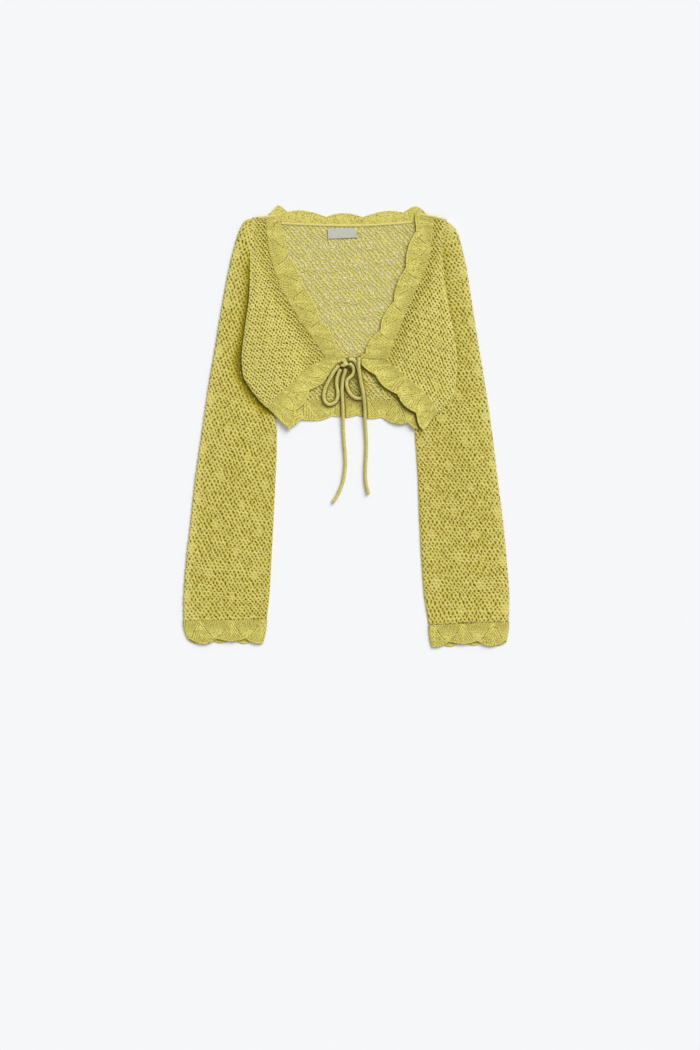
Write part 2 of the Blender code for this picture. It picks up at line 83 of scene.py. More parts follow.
FrontRow = namedtuple("FrontRow", "outer_x outer_y join_x join_y edge_x edge_y depth")
FRONTS = {
    "left": rows_of(
        FrontRow,
        (-140, 313, -122, 314.5, -103, 315.5, 2.5), (-143, 265, -116, 262, -88, 260, 3),
        (-144, 212, -99, 209, -64, 211, 3.5), (-149, 169, -73, 164, -40, 163, 3.5),
        (-154.5, 130, -46, 124, -16, 122, 3), (-157, 103, -32, 102, -2, 98, 3),
        (-154, 74, -62, 86, -29, 74, 5), (-143, 55.5, -85, 61, -55.5, 54, 5.5),
        (-132, 40.5, -103.5, 46, -76, 24, 6), (-121, 29, -117, 27, -86, -4, 0),
    ),
    "right": rows_of(
        FrontRow,
        (149, 310, 130, 314.5, 103, 319, 1.5), (143, 280, 129, 289, 104, 292, 6),
        (144, 238, 121, 241, 89, 238, 5.5), (151, 190, 97.5, 191, 71, 188, 6),
        (160, 145, 79, 145, 51, 145, 6), (165, 112, 65, 109, 28.5, 110, 1),
        (166, 98, 59, 99, 16.5, 101, 4), (165, 73, 77, 85, 44, 76.5, 5.5),
        (160.5, 46, 104, 62, 76, 48, 5.5), (147, 29, 125, 40.5, 104, 20, 5),
        (138, 20, 136, 22.5, 116, -6, 0),
    ),
}
CORNER_ROW = {"left": 5, "right": 6}  # where the neck band ends and the hem band starts
INWARD = {"left": 1, "right": -1}  # towards the body, along X

BackRow = namedtuple("BackRow", "y dip")
BACK = rows_of(BackRow, (311, 9), (265, 4), (212, 2), (160, 0), (103, 0), (40, 0))

BandRow = namedtuple("BandRow", "join_x join_y edge_x edge_y depth")
NECK_BAND_BACK = rows_of(
    BandRow,
    (-122, 311, -118.5, 315.5, 12), (-88, 304.5, -88, 321.5, 5), (-31, 302, -31, 314.5, 6.5),
    (24.5, 301.5, 24.5, 314, 5), (83, 303.5, 84.5, 320.5, 11.5), (130, 309, 126.5, 314, 0),
)
HEM_BAND_BACK = rows_of(
    BandRow,
    (-129.5, 39.5, -88.5, -0.5, 4), (-89, 39.5, -67, 10.5, 6), (-37, 39.5, -22, 16, 4),
    (8, 39.5, 16, 17, 4.5), (53, 39.5, 53, 14, 6), (101, 39.5, 92, 5.5, 5), (155, 39.5, 114.5, -3.5, 0),
)

RingRow = namedtuple("RingRow", "outer_x outer_y inner_x inner_y")
SLEEVES = {
    "left": rows_of(
        RingRow,
        (-140, 313, -118, 106), (-154.5, 306.5, -117, 99), (-164, 286, -115.5, 90),
        (-171, 262, -113.5, 78), (-179, 227, -111, 63), (-188, 178, -108, 43), (-197.5, 121, -105.5, 20),
        (-208, 58, -104, -7), (-218, -11, -104, -38), (-227, -74, -106, -80), (-234.5, -142, -109, -142),
        (-241, -200, -112, -200), (-245, -253, -115, -254), (-245, -291, -119, -288.5),
    ),
    "right": rows_of(
        RingRow,
        (149, 310, 122, 110), (163.5, 297.5, 121, 102), (170.5, 281, 119.5, 92), (176.5, 258, 117, 79),
        (183, 226, 113.5, 63), (190.5, 175, 109, 43), (199.5, 119, 104, 20), (209.5, 58, 102, -7),
        (219.5, -11, 104.5, -38), (227, -74, 107, -80), (235.5, -142, 109, -142), (241, -200, 112, -200),
        (245, -253, 116, -254), (244, -292.5, 123, -297.5),
    ),
}
CUFF_ENDS = {"left": RingRow(-237, -318.5, -125, -318), "right": RingRow(240, -321, 127, -323)}
CUFF_DEPTHS = (8.0, 4.0, 8.0, 7.5, 6.5, 7.5)
CUFF_ON_TOP = 2.75  # scallops on the upper wall
CUFF_WIDTH = 31

Hill = namedtuple("Hill", "x y reach_x reach_y height")  # where the fronts stand off the back
HILLS = rows_of(
    Hill,
    (-112, 135, 52, 95, 2.2), (118, 140, 58, 95, 2.2), (-85, 55, 60, 40, 1.2), (92, 40, 52, 48, 2.4),
    (88, 235, 45, 75, 1.2), (52, 140, 38, 50, 1),
)
LABEL_CORNERS = ((-28, 281), (16, 283), (14, 298), (-28.5, 296.5))
LABEL_SIZE = (45, 16)

# ---- the open mesh: its holes lie in staggered courses, and small solid diamonds break it at even distances
DOT_WALES, DOT_COURSES = 11, 16  # from one diamond to the next
# One diamond's stitch, and the wales to the next one, 8 courses down.
Dots = namedtuple("Dots", "wale course step")
Knit = namedtuple("Knit", "wale course hole_width hole_height slant relief drop dots hand")
SLEEVE_KNIT = {
    "left": Knit(6.0, 4.65, 1.35, 3.6, 10.0, 0.75, 0.5, Dots(6.5, 6, 6), -1),
    "right": Knit(6.0, 4.52, 1.3, 3.5, 12.0, 0.75, 0.5, Dots(7.5, 12, 5), 1),
}
FRONT_KNIT = {
    "left": Knit(5.25, 3.81, 1.3, 3.2, 8.0, 0.8, 0.55, Dots(-3, -35, 6), -1),
    "right": Knit(5.79, 4.2, 1.4, 3.5, 6.0, 0.8, 0.55, Dots(1, -31, 5), -1),
}
BACK_KNIT = Knit(6.85, 3.6, 0.95, 3.4, 50.0, 0.6, 0.55, Dots(2.5, -54, 6), -1)
SLOW_UNEVENNESS, FINE_UNEVENNESS = (34, 0.9), (7, 0.85)  # the reach and the size of the shifts in the cloth
HOLE_SIZES = (0.5, 0.95)  # the least hole's share of the knit's hole, and how much more the largest has
HOLE_TURNS = 1.3  # how far apart the holes' slants are, in radians


# ---- curves

def blend(a, b, share):
    return a + (b - a) * share


def smooth(low, high, value):
    """0 up to low, 1 from high, and an even S between."""
    share = np.clip((np.asarray(value, float) - low) / (high - low), 0, 1)
    return share * share * (3 - 2 * share)


def bell(distance):
    """1 at 0, and falling off evenly to both sides."""
    return np.exp(-(distance ** 2))


def column(rows, *names):
    return np.array([[getattr(row, name) for name in names] for row in rows], float)


def along(values, t):
    """The points at t on a smooth curve through the values, which lie at t = 0, 1, 2 and so on."""
    values = np.asarray(values, float)
    t = np.asarray(t, float)
    i = np.clip(np.floor(t).astype(int), 0, len(values) - 2)
    ends = 2 * values[:1] - values[1:2], 2 * values[-1:] - values[-2:-1]
    run = np.concatenate([ends[0], values, ends[1]])
    before, here, there, after = run[i], run[i + 1], run[i + 2], run[i + 3]
    f = (t - i).reshape(t.shape + (1,) * (values.ndim - 1))
    bend = 2 * before - 5 * here + 4 * there - after + f * (3 * (here - there) + after - before)
    return here + 0.5 * f * (there - before + f * bend)


def curve(values, count):
    """That many points on the smooth curve through all the values."""
    return along(values, np.linspace(0, len(values) - 1, count))


def unit(vectors):
    return vectors / np.maximum(np.linalg.norm(vectors, axis=-1, keepdims=True), 1e-9)


def run_length(points):
    return np.concatenate([[0], np.cumsum(np.linalg.norm(np.diff(points, axis=0), axis=1))])


# ---- the lie of the garment

def outer_edge(side, t):
    return along(column(FRONTS[side], "outer_x", "outer_y"), t)


def armhole(side, count):
    body = outer_edge(side, ARMHOLE_ROWS * np.linspace(0, 1, count))
    underarm = SLEEVES[side][0]
    tuck = np.clip((UNDER - body[..., 1]) / (UNDER - underarm.inner_y), 0, 1) ** TUCK_CURVE
    x = blend(body[..., 0] - INWARD[side] * SEAM, underarm.inner_x, tuck)
    return np.stack([x, body[..., 1]], axis=-1)


def rising(points):
    points = points[np.argsort(points[:, 1])]
    return points[:, 1], points[:, 0]


BODY_EDGE = {side: rising(outer_edge(side, np.linspace(0, len(rows) - 1, 121)))
             for side, rows in FRONTS.items()}
INNER_FOLD = {side: rising(np.concatenate([armhole(side, 41), column(rows[1:], "inner_x", "inner_y")]))
              for side, rows in SLEEVES.items()}


def body_edge_x(side, y):
    return np.interp(y, *BODY_EDGE[side])


def outside_body(side, x, y):
    return INWARD[side] * (np.interp(y, *BODY_EDGE[side]) - x)


def inside_fold(side, x, y):
    return INWARD[side] * (x - np.interp(y, *INNER_FOLD[side]))


def body_height(x, y):
    """The underside of the back: on the table in the middle, and over each sleeve at the sides."""
    over = blend(BODY_ON_SLEEVE, BODY_AT_SHOULDER, smooth(UNDER, BESIDE, y))
    height = np.zeros_like(x)
    for side in FRONTS:
        slope = 1 - smooth(RAMP_CLEAR, RAMP_CLEAR + RAMP, inside_fold(side, x, y))
        height = np.maximum(height, over * slope)
    return height


def loft(x, y):
    """How far the upper cloth stands off the back."""
    return sum(
        hill.height * (1 - smooth(0, 1, np.hypot((x - hill.x) / hill.reach_x, (y - hill.y) / hill.reach_y)))
        for hill in HILLS
    )


def front_height(x, y):
    return body_height(x, y) + WALL + SEAM + loft(x, y)


def sleeve_crown(side, x, y, share):
    ups = (0, 0.5 * CROWN_BELOW, CROWN_BELOW)
    outside = np.min([outside_body(side, x, y + up) for up in ups], axis=0)
    free = np.maximum(smooth(CROWN_FROM, CROWN_TO, outside), smooth(UNDER, BESIDE, y))
    return CROWN * free * np.maximum(np.sin(math.pi * np.clip(share, 0, 1)), 0)


# ---- making objects

def add_node(tree, kind, links=None, **settings):
    """Adds a node, with its settings and with a value or another node's output at each named input."""
    made = tree.nodes.new(kind)
    for name, value in settings.items():
        setattr(made, name, value)
    for name, value in (links or {}).items():
        if isinstance(value, bpy.types.NodeSocket):
            tree.links.new(value, made.inputs[name])
        else:
            made.inputs[name].default_value = value
    return made


def linear(hex_colour):
    """An sRGB hex colour as linear red, green, blue and alpha."""
    parts = [int(hex_colour[i:i + 2], 16) / 255 for i in (1, 3, 5)]
    return (*[c / 12.92 if c <= 0.04045 else ((c + 0.055) / 1.055) ** 2.4 for c in parts], 1.0)


def new_material(name, **values):
    """A material, its node tree and its shader, with the values set on the shader's own sockets."""
    made = bpy.data.materials.new(name)
    made.use_nodes = True
    shader = made.node_tree.nodes["Principled BSDF"]
    for socket, value in values.items():
        shader.inputs[socket.replace("_", " ")].default_value = value
    return made, made.node_tree, shader


def new_object(name, mesh):
    made = bpy.data.objects.new(name, mesh)
    bpy.context.scene.collection.objects.link(made)
    return made


def mesh_object(name, points, faces, material, uv=None, **values):
    """A smooth mesh from points in millimetres. uv places each point on the cloth, in millimetres. The values
    are read by the yarn: shade is painted shade, for how deep in the yarn a point lies, from 0 to 1, or up to
    2 in a crease, and down to -1 for a painted glow of light thrown about inside the garment; wales counts
    the ribs across the cloth, and groove says how deep the grooves between them are, as bump and as painted
    shade."""
    mesh = bpy.data.meshes.new(name)
    mesh.from_pydata([tuple(p) for p in np.asarray(points) * MM], [], [tuple(map(int, f)) for f in faces])
    mesh.materials.append(material)
    if uv is not None:
        layer = mesh.uv_layers.new(name="cloth")
        index = np.empty(len(mesh.loops), np.int32)
        mesh.loops.foreach_get("vertex_index", index)
        layer.data.foreach_set("uv", (np.asarray(uv)[index] * MM).astype(np.float32).ravel())
    for key, value in values.items():
        mesh.attributes.new(key, "FLOAT", "POINT").data.foreach_set("value", np.asarray(value, np.float32))
    mesh.shade_smooth()
    return new_object(name, mesh)


def finish_piece(piece, node):
    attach(piece, "root")
    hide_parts(node)


def turn_faces(piece, above=None):
    """Turns a closed piece's faces outward, or a sheet's so that those above a height look up."""
    shape = bmesh.new()
    shape.from_mesh(piece.data)
    if above is None:
        bmesh.ops.recalc_face_normals(shape, faces=shape.faces)
    else:
        shape.normal_update()
        if sum(face.normal.z for face in shape.faces if face.calc_center_median().z > above) < 0:
            bmesh.ops.reverse_faces(shape, faces=shape.faces)
    shape.to_mesh(piece.data)
    shape.free()


def finish_cloth(piece, node, wall, above=-1):
    """Gives a sheet a wall below the faces that look up."""
    turn_faces(piece, above)
    solid = piece.modifiers.new("wall", "SOLIDIFY")
    solid.thickness = wall * MM
    solid.offset = -1
    finish_piece(piece, node)


# ---- materials

# The colours of painted shade in creases, and of a painted glow for the light thrown about inside the
# garment.
CREASE_SHADE_COLOUR, INSIDE_BOUNCE_COLOUR = "#4E4300", "#F8E628"
CLOUD_MM, STITCH_MM = 14, 1.9  # the sizes of the dye's unevenness and of a stitch's


def textile(name, colour, dark, deep, fibre_mm, bump_mm, speckle=0.25):
    """Spun yarn: matt, with a faint sheen on the fibres, uneven dye, and painted shade: a deep colour between
    the strands, where the yarn shades itself, and darker still in creases, where shade is from 1 to 2. Inside
    the garment, where shade is from 0 to -1, a painted glow deepens the yellow; it stands for the light
    thrown back and forth between the walls."""
    made, tree, shader = new_material(
        name, Roughness=0.75, Sheen_Weight=0.25, Sheen_Roughness=0.35, Specular_IOR_Level=0.3)
    place = add_node(tree, "ShaderNodeTexCoord").outputs["Object"]

    def noise(size_mm, detail):
        return add_node(tree, "ShaderNodeTexNoise", {
            "Vector": place, "Scale": 1 / (size_mm * MM), "Detail": detail}).outputs["Fac"]

    def maths(operation, *values, **settings):
        inputs = dict(enumerate(values))
        return add_node(tree, "ShaderNodeMath", inputs, operation=operation, **settings).outputs[0]

    def spread(value, low, high, start=0.0, end=1.0):
        """start where the value is low, end where it is high, and even between."""
        limits = {"Value": value, "From Min": low, "From Max": high, "To Min": start, "To Max": end}
        return add_node(tree, "ShaderNodeMapRange", limits).outputs["Result"]

    def mixed(share, first, second):
        colours = {"Factor": share, 6: first, 7: second}
        return add_node(tree, "ShaderNodeMix", colours, data_type="RGBA").outputs[2]

    cloudy, fibres, stitches = noise(CLOUD_MM, 3), noise(fibre_mm, 2), noise(STITCH_MM, 1)
    shade, wales, groove = (add_node(tree, "ShaderNodeAttribute", attribute_name=key).outputs["Fac"]
                            for key in ("shade", "wales", "groove"))
    share = maths("MULTIPLY_ADD", stitches, speckle, maths("MULTIPLY_ADD", cloudy, 0.25, fibres))
    tint = spread(share, 0.47 + 0.45 * speckle, 0.78 + 0.55 * speckle)
    wave = maths("COSINE", maths("MULTIPLY", wales, 2 * math.pi))
    # Painted shade in the grooves between the ribs, which also sinks them as bump.
    furrow = maths("MULTIPLY", spread(wave, 0.45, -0.8), groove)
    furrow = maths("MULTIPLY", furrow, spread(stitches, 0.35, 0.55, start=0.4))
    speck = spread(stitches, 0.49, 0.33, end=speckle)
    # How much painted shade a point gets: from its shade value, the random specks and the grooves.
    darker = maths("MAXIMUM", shade, maths("MAXIMUM", speck, furrow), use_clamp=True)
    yarn = mixed(tint, linear(dark), linear(colour))
    shaded = mixed(darker, yarn, linear(deep))
    # Painted crease shade, then the painted glow of light thrown about inside the garment.
    crease_shaded = mixed(spread(shade, 1.0, 2.0), shaded, linear(CREASE_SHADE_COLOUR))
    bounce_lit = mixed(spread(shade, 0.0, -1.0), crease_shaded, linear(INSIDE_BOUNCE_COLOUR))
    tree.links.new(bounce_lit, shader.inputs["Base Color"])
    bump = add_node(tree, "ShaderNodeBump", {
        "Height": maths("SUBTRACT", fibres, furrow), "Strength": 0.7, "Distance": bump_mm * MM})
    tree.links.new(bump.outputs["Normal"], shader.inputs["Normal"])
    return made


# Mercerised cotton takes a bright, even dye: clear lime yellow strands, with painted shade that goes to
# olive in the holes between them.
MESH_YARN = textile("mercerised cotton, open mesh", "#F6EEA0", "#DFD366", "#A49200", 0.9, 0.4, speckle=0.3)
# The mesh's wrong side, which faces up inside the neck, with short uneven strokes; it is painted paler, for
# the light on its single layer over the pale table.
BACK_YARN = textile("mercerised cotton, wrong side of the mesh", "#F8F1A4", "#E3D970", "#9A8A10", 0.9, 0.4,
                    speckle=0.4)
# Knitted close, the same yarn is painted duller, for the shade among its close stitches, and its stitches
# show as fine specks.
BAND_YARN = textile("mercerised cotton, close knit", "#ECE386", "#D4C856", "#847000", 0.9, 0.6, speckle=0.75)
# A linked seam, paler than the bands, that shows few stitches.
SEAM_YARN = textile("mercerised cotton, seam", "#EDE496", "#E2D67C", "#A89418", 0.9, 0.3)
# A cord knitted in the round, with V-shaped stitches.
TIE_YARN = textile("mercerised cotton, knitted cord", "#F6EFA4", "#E2D97C", "#8C7A08", 0.9, 0.5, speckle=0.7)
# Woven tape is smooth, fine and a cool grey.
LABEL_TAPE = textile("woven polyester tape", "#C6C9BA", "#B9BCAD", "#8C8E80", 0.5, 0.1)


# ---- the open mesh

JOIN_DISTANCE = 0.02  # between the corners of stitches that are knitted together
MARGIN = 15  # how far past an outline or a line its surroundings are worked out


def hexagon(wale, course):
    """Twelve points round the cell of one hole, its corners and the middles of its sides, from the right."""
    top = (wale * wale / 4 + course * course) / 2 / course
    side = course - top
    half = wale / 2
    corners = [(half, side), (0, top), (-half, side), (-half, -side), (0, -top), (half, -side)]
    points = []
    for i in range(6):
        here, after = np.array(corners[i - 1]), np.array(corners[i])
        points += [(here + after) / 2, after]
    return np.array(points)


# How high the yarn stands round a cell: at the right side, right corner, upper right side, top and so on. The
# strands that run down to the right lie on top of those that run to the left.
STRAND_LIFT = np.array([0.45, 0.8, 1.05, 0.8, 0.3, 0.6] * 2)


def stitch(name, knit, is_open, is_fine):
    """One cell of the mesh, from the strands round it down to its hole."""
    rim = hexagon(knit.wale, knit.course)
    lift = STRAND_LIFT * knit.relief
    slant = math.radians(knit.slant)
    angles = np.arctan2(rim[:, 1], rim[:, 0]) - slant
    hole = np.column_stack([np.cos(angles) * knit.hole_width / 2, np.sin(angles) * knit.hole_height / 2])
    hole = hole @ np.array([[math.cos(slant), math.sin(slant)], [-math.sin(slant), math.cos(slant)]])
    rings = [(rim, lift)]
    if is_open:
        if is_fine:
            rings.append((0.5 * rim + 0.5 * hole, 0.72 * lift - 0.15 * knit.drop))
        rings.append((hole, np.full(12, -knit.drop)))
    else:
        rings.append((0.5 * rim, np.full(12, -0.25 * knit.drop)))
    shape = bmesh.new()
    made = [
        [shape.verts.new((x * MM, knit.hand * y * MM, z * MM)) for (x, y), z in zip(plan, heights)]
        for plan, heights in rings
    ]
    for outside, inside in zip(made, made[1:]):
        for i in range(12):
            shape.faces.new((outside[i - 1], outside[i], inside[i], inside[i - 1]))
    if not is_open:
        centre = shape.verts.new((0, 0, -0.7 * knit.drop * MM))
        for i in range(12):
            shape.faces.new((made[-1][i - 1], made[-1][i], centre))
    mesh = bpy.data.meshes.new(name)
    shape.to_mesh(mesh)
    shape.free()
    return new_object(name, mesh)


def mesh_tree():
    """Geometry Nodes: a stitch at each point, open or closed, joined where neighbours meet."""
    tree = bpy.data.node_groups.new("open mesh", "GeometryNodeTree")
    for name, kind in (("Points", "Geometry"), ("Open Stitch", "Object"), ("Closed Stitch", "Object"),
                       ("Join Distance", "Float"), ("Yarn", "Material")):
        tree.interface.new_socket(name, in_out="INPUT", socket_type=f"NodeSocket{kind}")
    tree.interface.new_socket("Mesh", in_out="OUTPUT", socket_type="NodeSocketGeometry")
    given = add_node(tree, "NodeGroupInput").outputs
    closed = add_node(tree, "GeometryNodeInputNamedAttribute", {"Name": "closed"},
                      data_type="BOOLEAN").outputs["Attribute"]
    opened = add_node(tree, "FunctionNodeBooleanMath", {0: closed}, operation="NOT").outputs[0]
    joined = add_node(tree, "GeometryNodeJoinGeometry")
    for chosen, stitch_name in ((opened, "Open Stitch"), (closed, "Closed Stitch")):
        shape = add_node(tree, "GeometryNodeObjectInfo", {"Object": given[stitch_name]})
        placed = add_node(tree, "GeometryNodeInstanceOnPoints", {
            "Points": given["Points"], "Selection": chosen, "Instance": shape.outputs["Geometry"]})
        tree.links.new(placed.outputs[0], joined.inputs[0])
    real = add_node(tree, "GeometryNodeRealizeInstances", {0: joined.outputs[0]})
    merged = add_node(tree, "GeometryNodeMergeByDistance", {
        0: real.outputs[0], "Distance": given["Join Distance"]})
    yarn = add_node(tree, "GeometryNodeSetMaterial", {0: merged.outputs[0], "Material": given["Yarn"]})
    add_node(tree, "NodeGroupOutput", {0: yarn.outputs[0]})
    return tree


OPEN_MESH = mesh_tree()


def in_diamond(knit, wales, rows):
    """Whether stitches belong to a solid diamond: one, two and one of them in three courses."""
    found = np.zeros(len(rows), bool)
    for step_w, step_r in ((0, 0), (knit.dots.step, DOT_COURSES // 2)):
        w = (wales - knit.dots.wale - step_w + DOT_WALES / 2) % DOT_WALES - DOT_WALES / 2
        r = (rows - knit.dots.course - step_r + DOT_COURSES // 2) % DOT_COURSES - DOT_COURSES // 2
        found |= (np.abs(w) + 0.5 * np.abs(r) < 0.8) & (np.abs(r) <= 1)
    return found


def knit_flat(name, knit, across, down, reaches, shift=0.0, is_fine=False):
    """A flat piece of open mesh. across and down give its wales and courses, reaches which ones to knit."""
    rows, turns = (grid.ravel() for grid in np.meshgrid(np.arange(*down), np.arange(*across), indexing="ij"))
    wales = turns + 0.5 * (rows % 2)
    places = np.column_stack([(wales + shift) * knit.wale, rows * knit.course])
    wanted = reaches(places)
    places, closed = places[wanted], in_diamond(knit, wales, rows)[wanted]
    mesh = bpy.data.meshes.new(name)
    mesh.from_pydata([(x * MM, y * MM, 0) for x, y in places], [], [])
    mesh.attributes.new("closed", "BOOLEAN", "POINT").data.foreach_set("value", closed)
    piece = new_object(name, mesh)
    stitches = [stitch("open stitch", knit, True, is_fine), stitch("closed stitch", knit, False, is_fine)]
    nodes = piece.modifiers.new("open mesh", "NODES")
    nodes.node_group = OPEN_MESH
    inputs = {"Open Stitch": stitches[0], "Closed Stitch": stitches[1], "Join Distance": JOIN_DISTANCE * MM,
              "Yarn": MESH_YARN}
    for item in OPEN_MESH.interface.items_tree:
        if item.name in inputs:
            nodes[item.identifier] = inputs[item.name]
    flat = bpy.data.meshes.new_from_object(piece.evaluated_get(bpy.context.evaluated_depsgraph_get()))
    co = np.empty(3 * len(flat.vertices), np.float32)
    flat.vertices.foreach_get("co", co)
    faces = [tuple(p.vertices) for p in flat.polygons]
    for made in [piece, *stitches]:
        old = made.data
        bpy.data.objects.remove(made)
        bpy.data.meshes.remove(old)
    bpy.data.meshes.remove(flat)
    return co.reshape(-1, 3).astype(float) / MM, faces


def chance_at(a, b):
    """An even spread of numbers from 0 to 1, one for each pair."""
    return (np.sin(a * 12.9898 + b * 78.233) * 43758.5453) % 1


def loosened(flat, knit, shift, slack):
    """The flat piece with holes of uneven size. slack says how open the cloth is, 1 as knitted."""
    ring = flat[:, 2] < -0.5 * knit.drop
    x, y = flat[ring, 0] / knit.wale - shift, flat[ring, 1] / knit.course
    best = np.full(len(x), 1e9)
    centre = np.zeros((len(x), 2))
    for step in (-1, 0, 1):
        row = np.round(y) + step
        wale = np.round(x - 0.5 * (row % 2)) + 0.5 * (row % 2)
        away = ((x - wale) * knit.wale) ** 2 + ((y - row) * knit.course) ** 2
        nearer = away < best
        best[nearer] = away[nearer]
        centre[nearer] = np.column_stack([wale, row])[nearer]
    size = HOLE_SIZES[0] + HOLE_SIZES[1] * chance_at(centre[:, 0], centre[:, 1])
    turn = HOLE_TURNS * (chance_at(centre[:, 1], centre[:, 0]) - 0.5)
    middle = (centre + [shift, 0]) * [knit.wale, knit.course]
    size = np.clip(size * slack(middle), 0.35, 1.45)
    x, y = (flat[ring, :2] - middle).T * size
    result = flat.copy()
    result[ring, :2] = middle + np.column_stack([x * np.cos(turn) - y * np.sin(turn),
                                                 x * np.sin(turn) + y * np.cos(turn)])
    return result


def inside_outline(points, outline):
    """Whether each point lies in a closed outline."""
    x, y = points[:, 0], points[:, 1]
    inside = np.zeros(len(points), bool)
    for (ax, ay), (bx, by) in zip(outline, np.roll(outline, -1, axis=0)):
        if ay != by:
            inside ^= ((ay > y) != (by > y)) & (x < ax + (y - ay) * (bx - ax) / (by - ay))
    return inside


def nearest_on(points, outline):
    """The nearest point of a closed outline to each point, and how far off it is."""
    best = np.full(len(points), 1e18)
    place = points.copy()
    for a, b in zip(outline, np.roll(outline, -1, axis=0)):
        run = b - a
        share = np.clip(((points - a) @ run) / max(run @ run, 1e-9), 0, 1)
        spot = a + share[:, None] * run
        away = ((points - spot) ** 2).sum(axis=1)
        nearer = away < best
        best[nearer] = away[nearer]
        place[nearer] = spot[nearer]
    return place, np.sqrt(best)


def wander(points, reach, size, seed):
    """A slow uneven shift of each point, as hand-blocked cloth has."""
    chance = np.random.default_rng(seed)
    shift = np.zeros_like(points)
    for _ in range(8):
        wave = chance.normal(size=2) / reach * 2 * math.pi / 1.5
        shift += np.sin(points @ wave + chance.uniform(0, 7))[:, None] * chance.normal(size=2)
    return shift * size / 2.8


def unevenness(points, seed):
    return wander(points, *SLOW_UNEVENNESS, seed) + wander(points, *FINE_UNEVENNESS, seed + 1)


def keep_faces(faces, wanted):
    """The faces that have a wanted point, and the points that they use."""
    kept = [face for face in faces if any(wanted[i] for i in face)]
    used = np.unique(np.concatenate([np.array(face) for face in kept]))
    new_index = np.full(len(wanted), -1)
    new_index[used] = np.arange(len(used))
    return [tuple(new_index[list(face)]) for face in kept], used


def depth_in_yarn(heights, knit):
    """0 on the strands' tops and near 1 at the holes, where the yarn shades itself."""
    return 1.05 * np.clip((knit.relief - heights) / (knit.relief + knit.drop), 0, 1) ** 1.35


def lay_net(name, node, knit, grain, outline, height, slack, seed, depth, yarn=MESH_YARN, shadow=None,
            is_fine=False):
    """Lays a flat net on a panel: grain gives each stitch's place in plan, outline the panel's cut, slack how
    open its holes are, and depth how dark their painted shade is. shadow gives the net's painted shade in a
    crease or beside what lies on it, or below 0, by how far inside the garment it lies, a painted glow there."""
    low, high = outline.min(axis=0) - MARGIN, outline.max(axis=0) + MARGIN
    reach = int(1.4 * (high - low).max() / knit.course)  # from corner to corner, however the grain runs

    def reaches(stitches):
        places = grain(stitches)
        near = ((places > low) & (places < high)).all(axis=1)
        found = np.zeros(len(places), bool)
        spots = places[near]
        found[near] = inside_outline(spots, outline) | (nearest_on(spots, outline)[1] < knit.wale)
        return found

    flat, faces = knit_flat(name, knit, (-reach, reach), (-reach, reach), reaches, is_fine=is_fine)
    flat = loosened(flat, knit, 0, lambda middle: slack(grain(middle)))
    plan = grain(flat[:, :2]) + unevenness(flat[:, :2], seed)
    inside = inside_outline(plan, outline)
    faces, used = keep_faces(faces, inside)
    flat, plan, inside = flat[used], plan[used], inside[used]
    edge, away = nearest_on(plan, outline)
    away = np.where(inside, away, 0)
    plan = np.where(inside[:, None], plan, edge)
    z = height(plan[:, 0], plan[:, 1]) + WALL / 2 + blend(0.4, flat[:, 2], smooth(0, 1.5, away))
    shade = depth(plan) * depth_in_yarn(flat[:, 2], knit)
    if shadow is not None:
        dark = shadow(plan)
        shade = np.where(dark < 0, dark, np.maximum(shade, dark))
    net = mesh_object(name, np.column_stack([plan, z]), faces, yarn, flat[:, :2], shade=shade)
    finish_piece(net, node)


# ---- the panels' cuts

def front_outline(side):
    rows, corner = FRONTS[side], CORNER_ROW[side]
    outer = outer_edge(side, np.linspace(0, len(rows) - 1, 70))
    outer[:, 0] -= INWARD[side] * 1.3 * smooth(185, 225, outer[:, 1])  # over the sleeve, where they are sewn
    joins = column(rows, "join_x", "join_y")
    neck, hem = curve(joins[: corner + 1], 50), curve(joins[corner:], 40)
    return np.concatenate([outer, np.concatenate([neck, hem[1:]])[::-1]])


def under_either_front(points):
    return np.any([inside_outline(points, front_outline(side)) for side in FRONTS], axis=0)


def back_outline():
    ys = np.linspace(BACK[0].y, BACK[-1].y, 60)
    left = np.column_stack([body_edge_x("left", ys) + SEAM, ys])
    right = np.column_stack([body_edge_x("right", ys) - SEAM, ys])
    share = np.linspace(0, 1, 41)
    top = left[0] + share[:, None] * (right[0] - left[0])
    top[:, 1] -= BACK[0].dip * np.sin(math.pi * share) ** 0.6
    return np.concatenate([left[::-1], top[1:-1], right])


# Where a wale passes, and how the courses tilt there, in degrees.
GrainRow = namedtuple("GrainRow", "y x tilt")


def grain_of(rows):
    """Places a stitch, by its distance across and down the flat piece, along a wale that passes the rows."""
    ys, xs, tilts = (np.array(c, float)[::-1] for c in zip(*rows))

    def place(stitches):
        y = -stitches[:, 1]
        x = np.interp(y, ys, xs)
        tilt = np.radians(np.interp(y, ys, tilts))
        return np.column_stack([x + stitches[:, 0] * np.cos(tilt), y + stitches[:, 0] * np.sin(tilt)])

    return place


FRONT_GRAIN = {
    "left": rows_of(GrainRow, (380, -134, 3), (250, -126, 9), (180, -112, 14.5), (-60, -58, 17)),
    "right": rows_of(GrainRow, (380, 142, -5), (250, 140, -11), (180, 138, -15), (-60, 121, -17)),
}
BACK_GRAIN = rows_of(GrainRow, (400, 0, -1), (0, 0, -1))


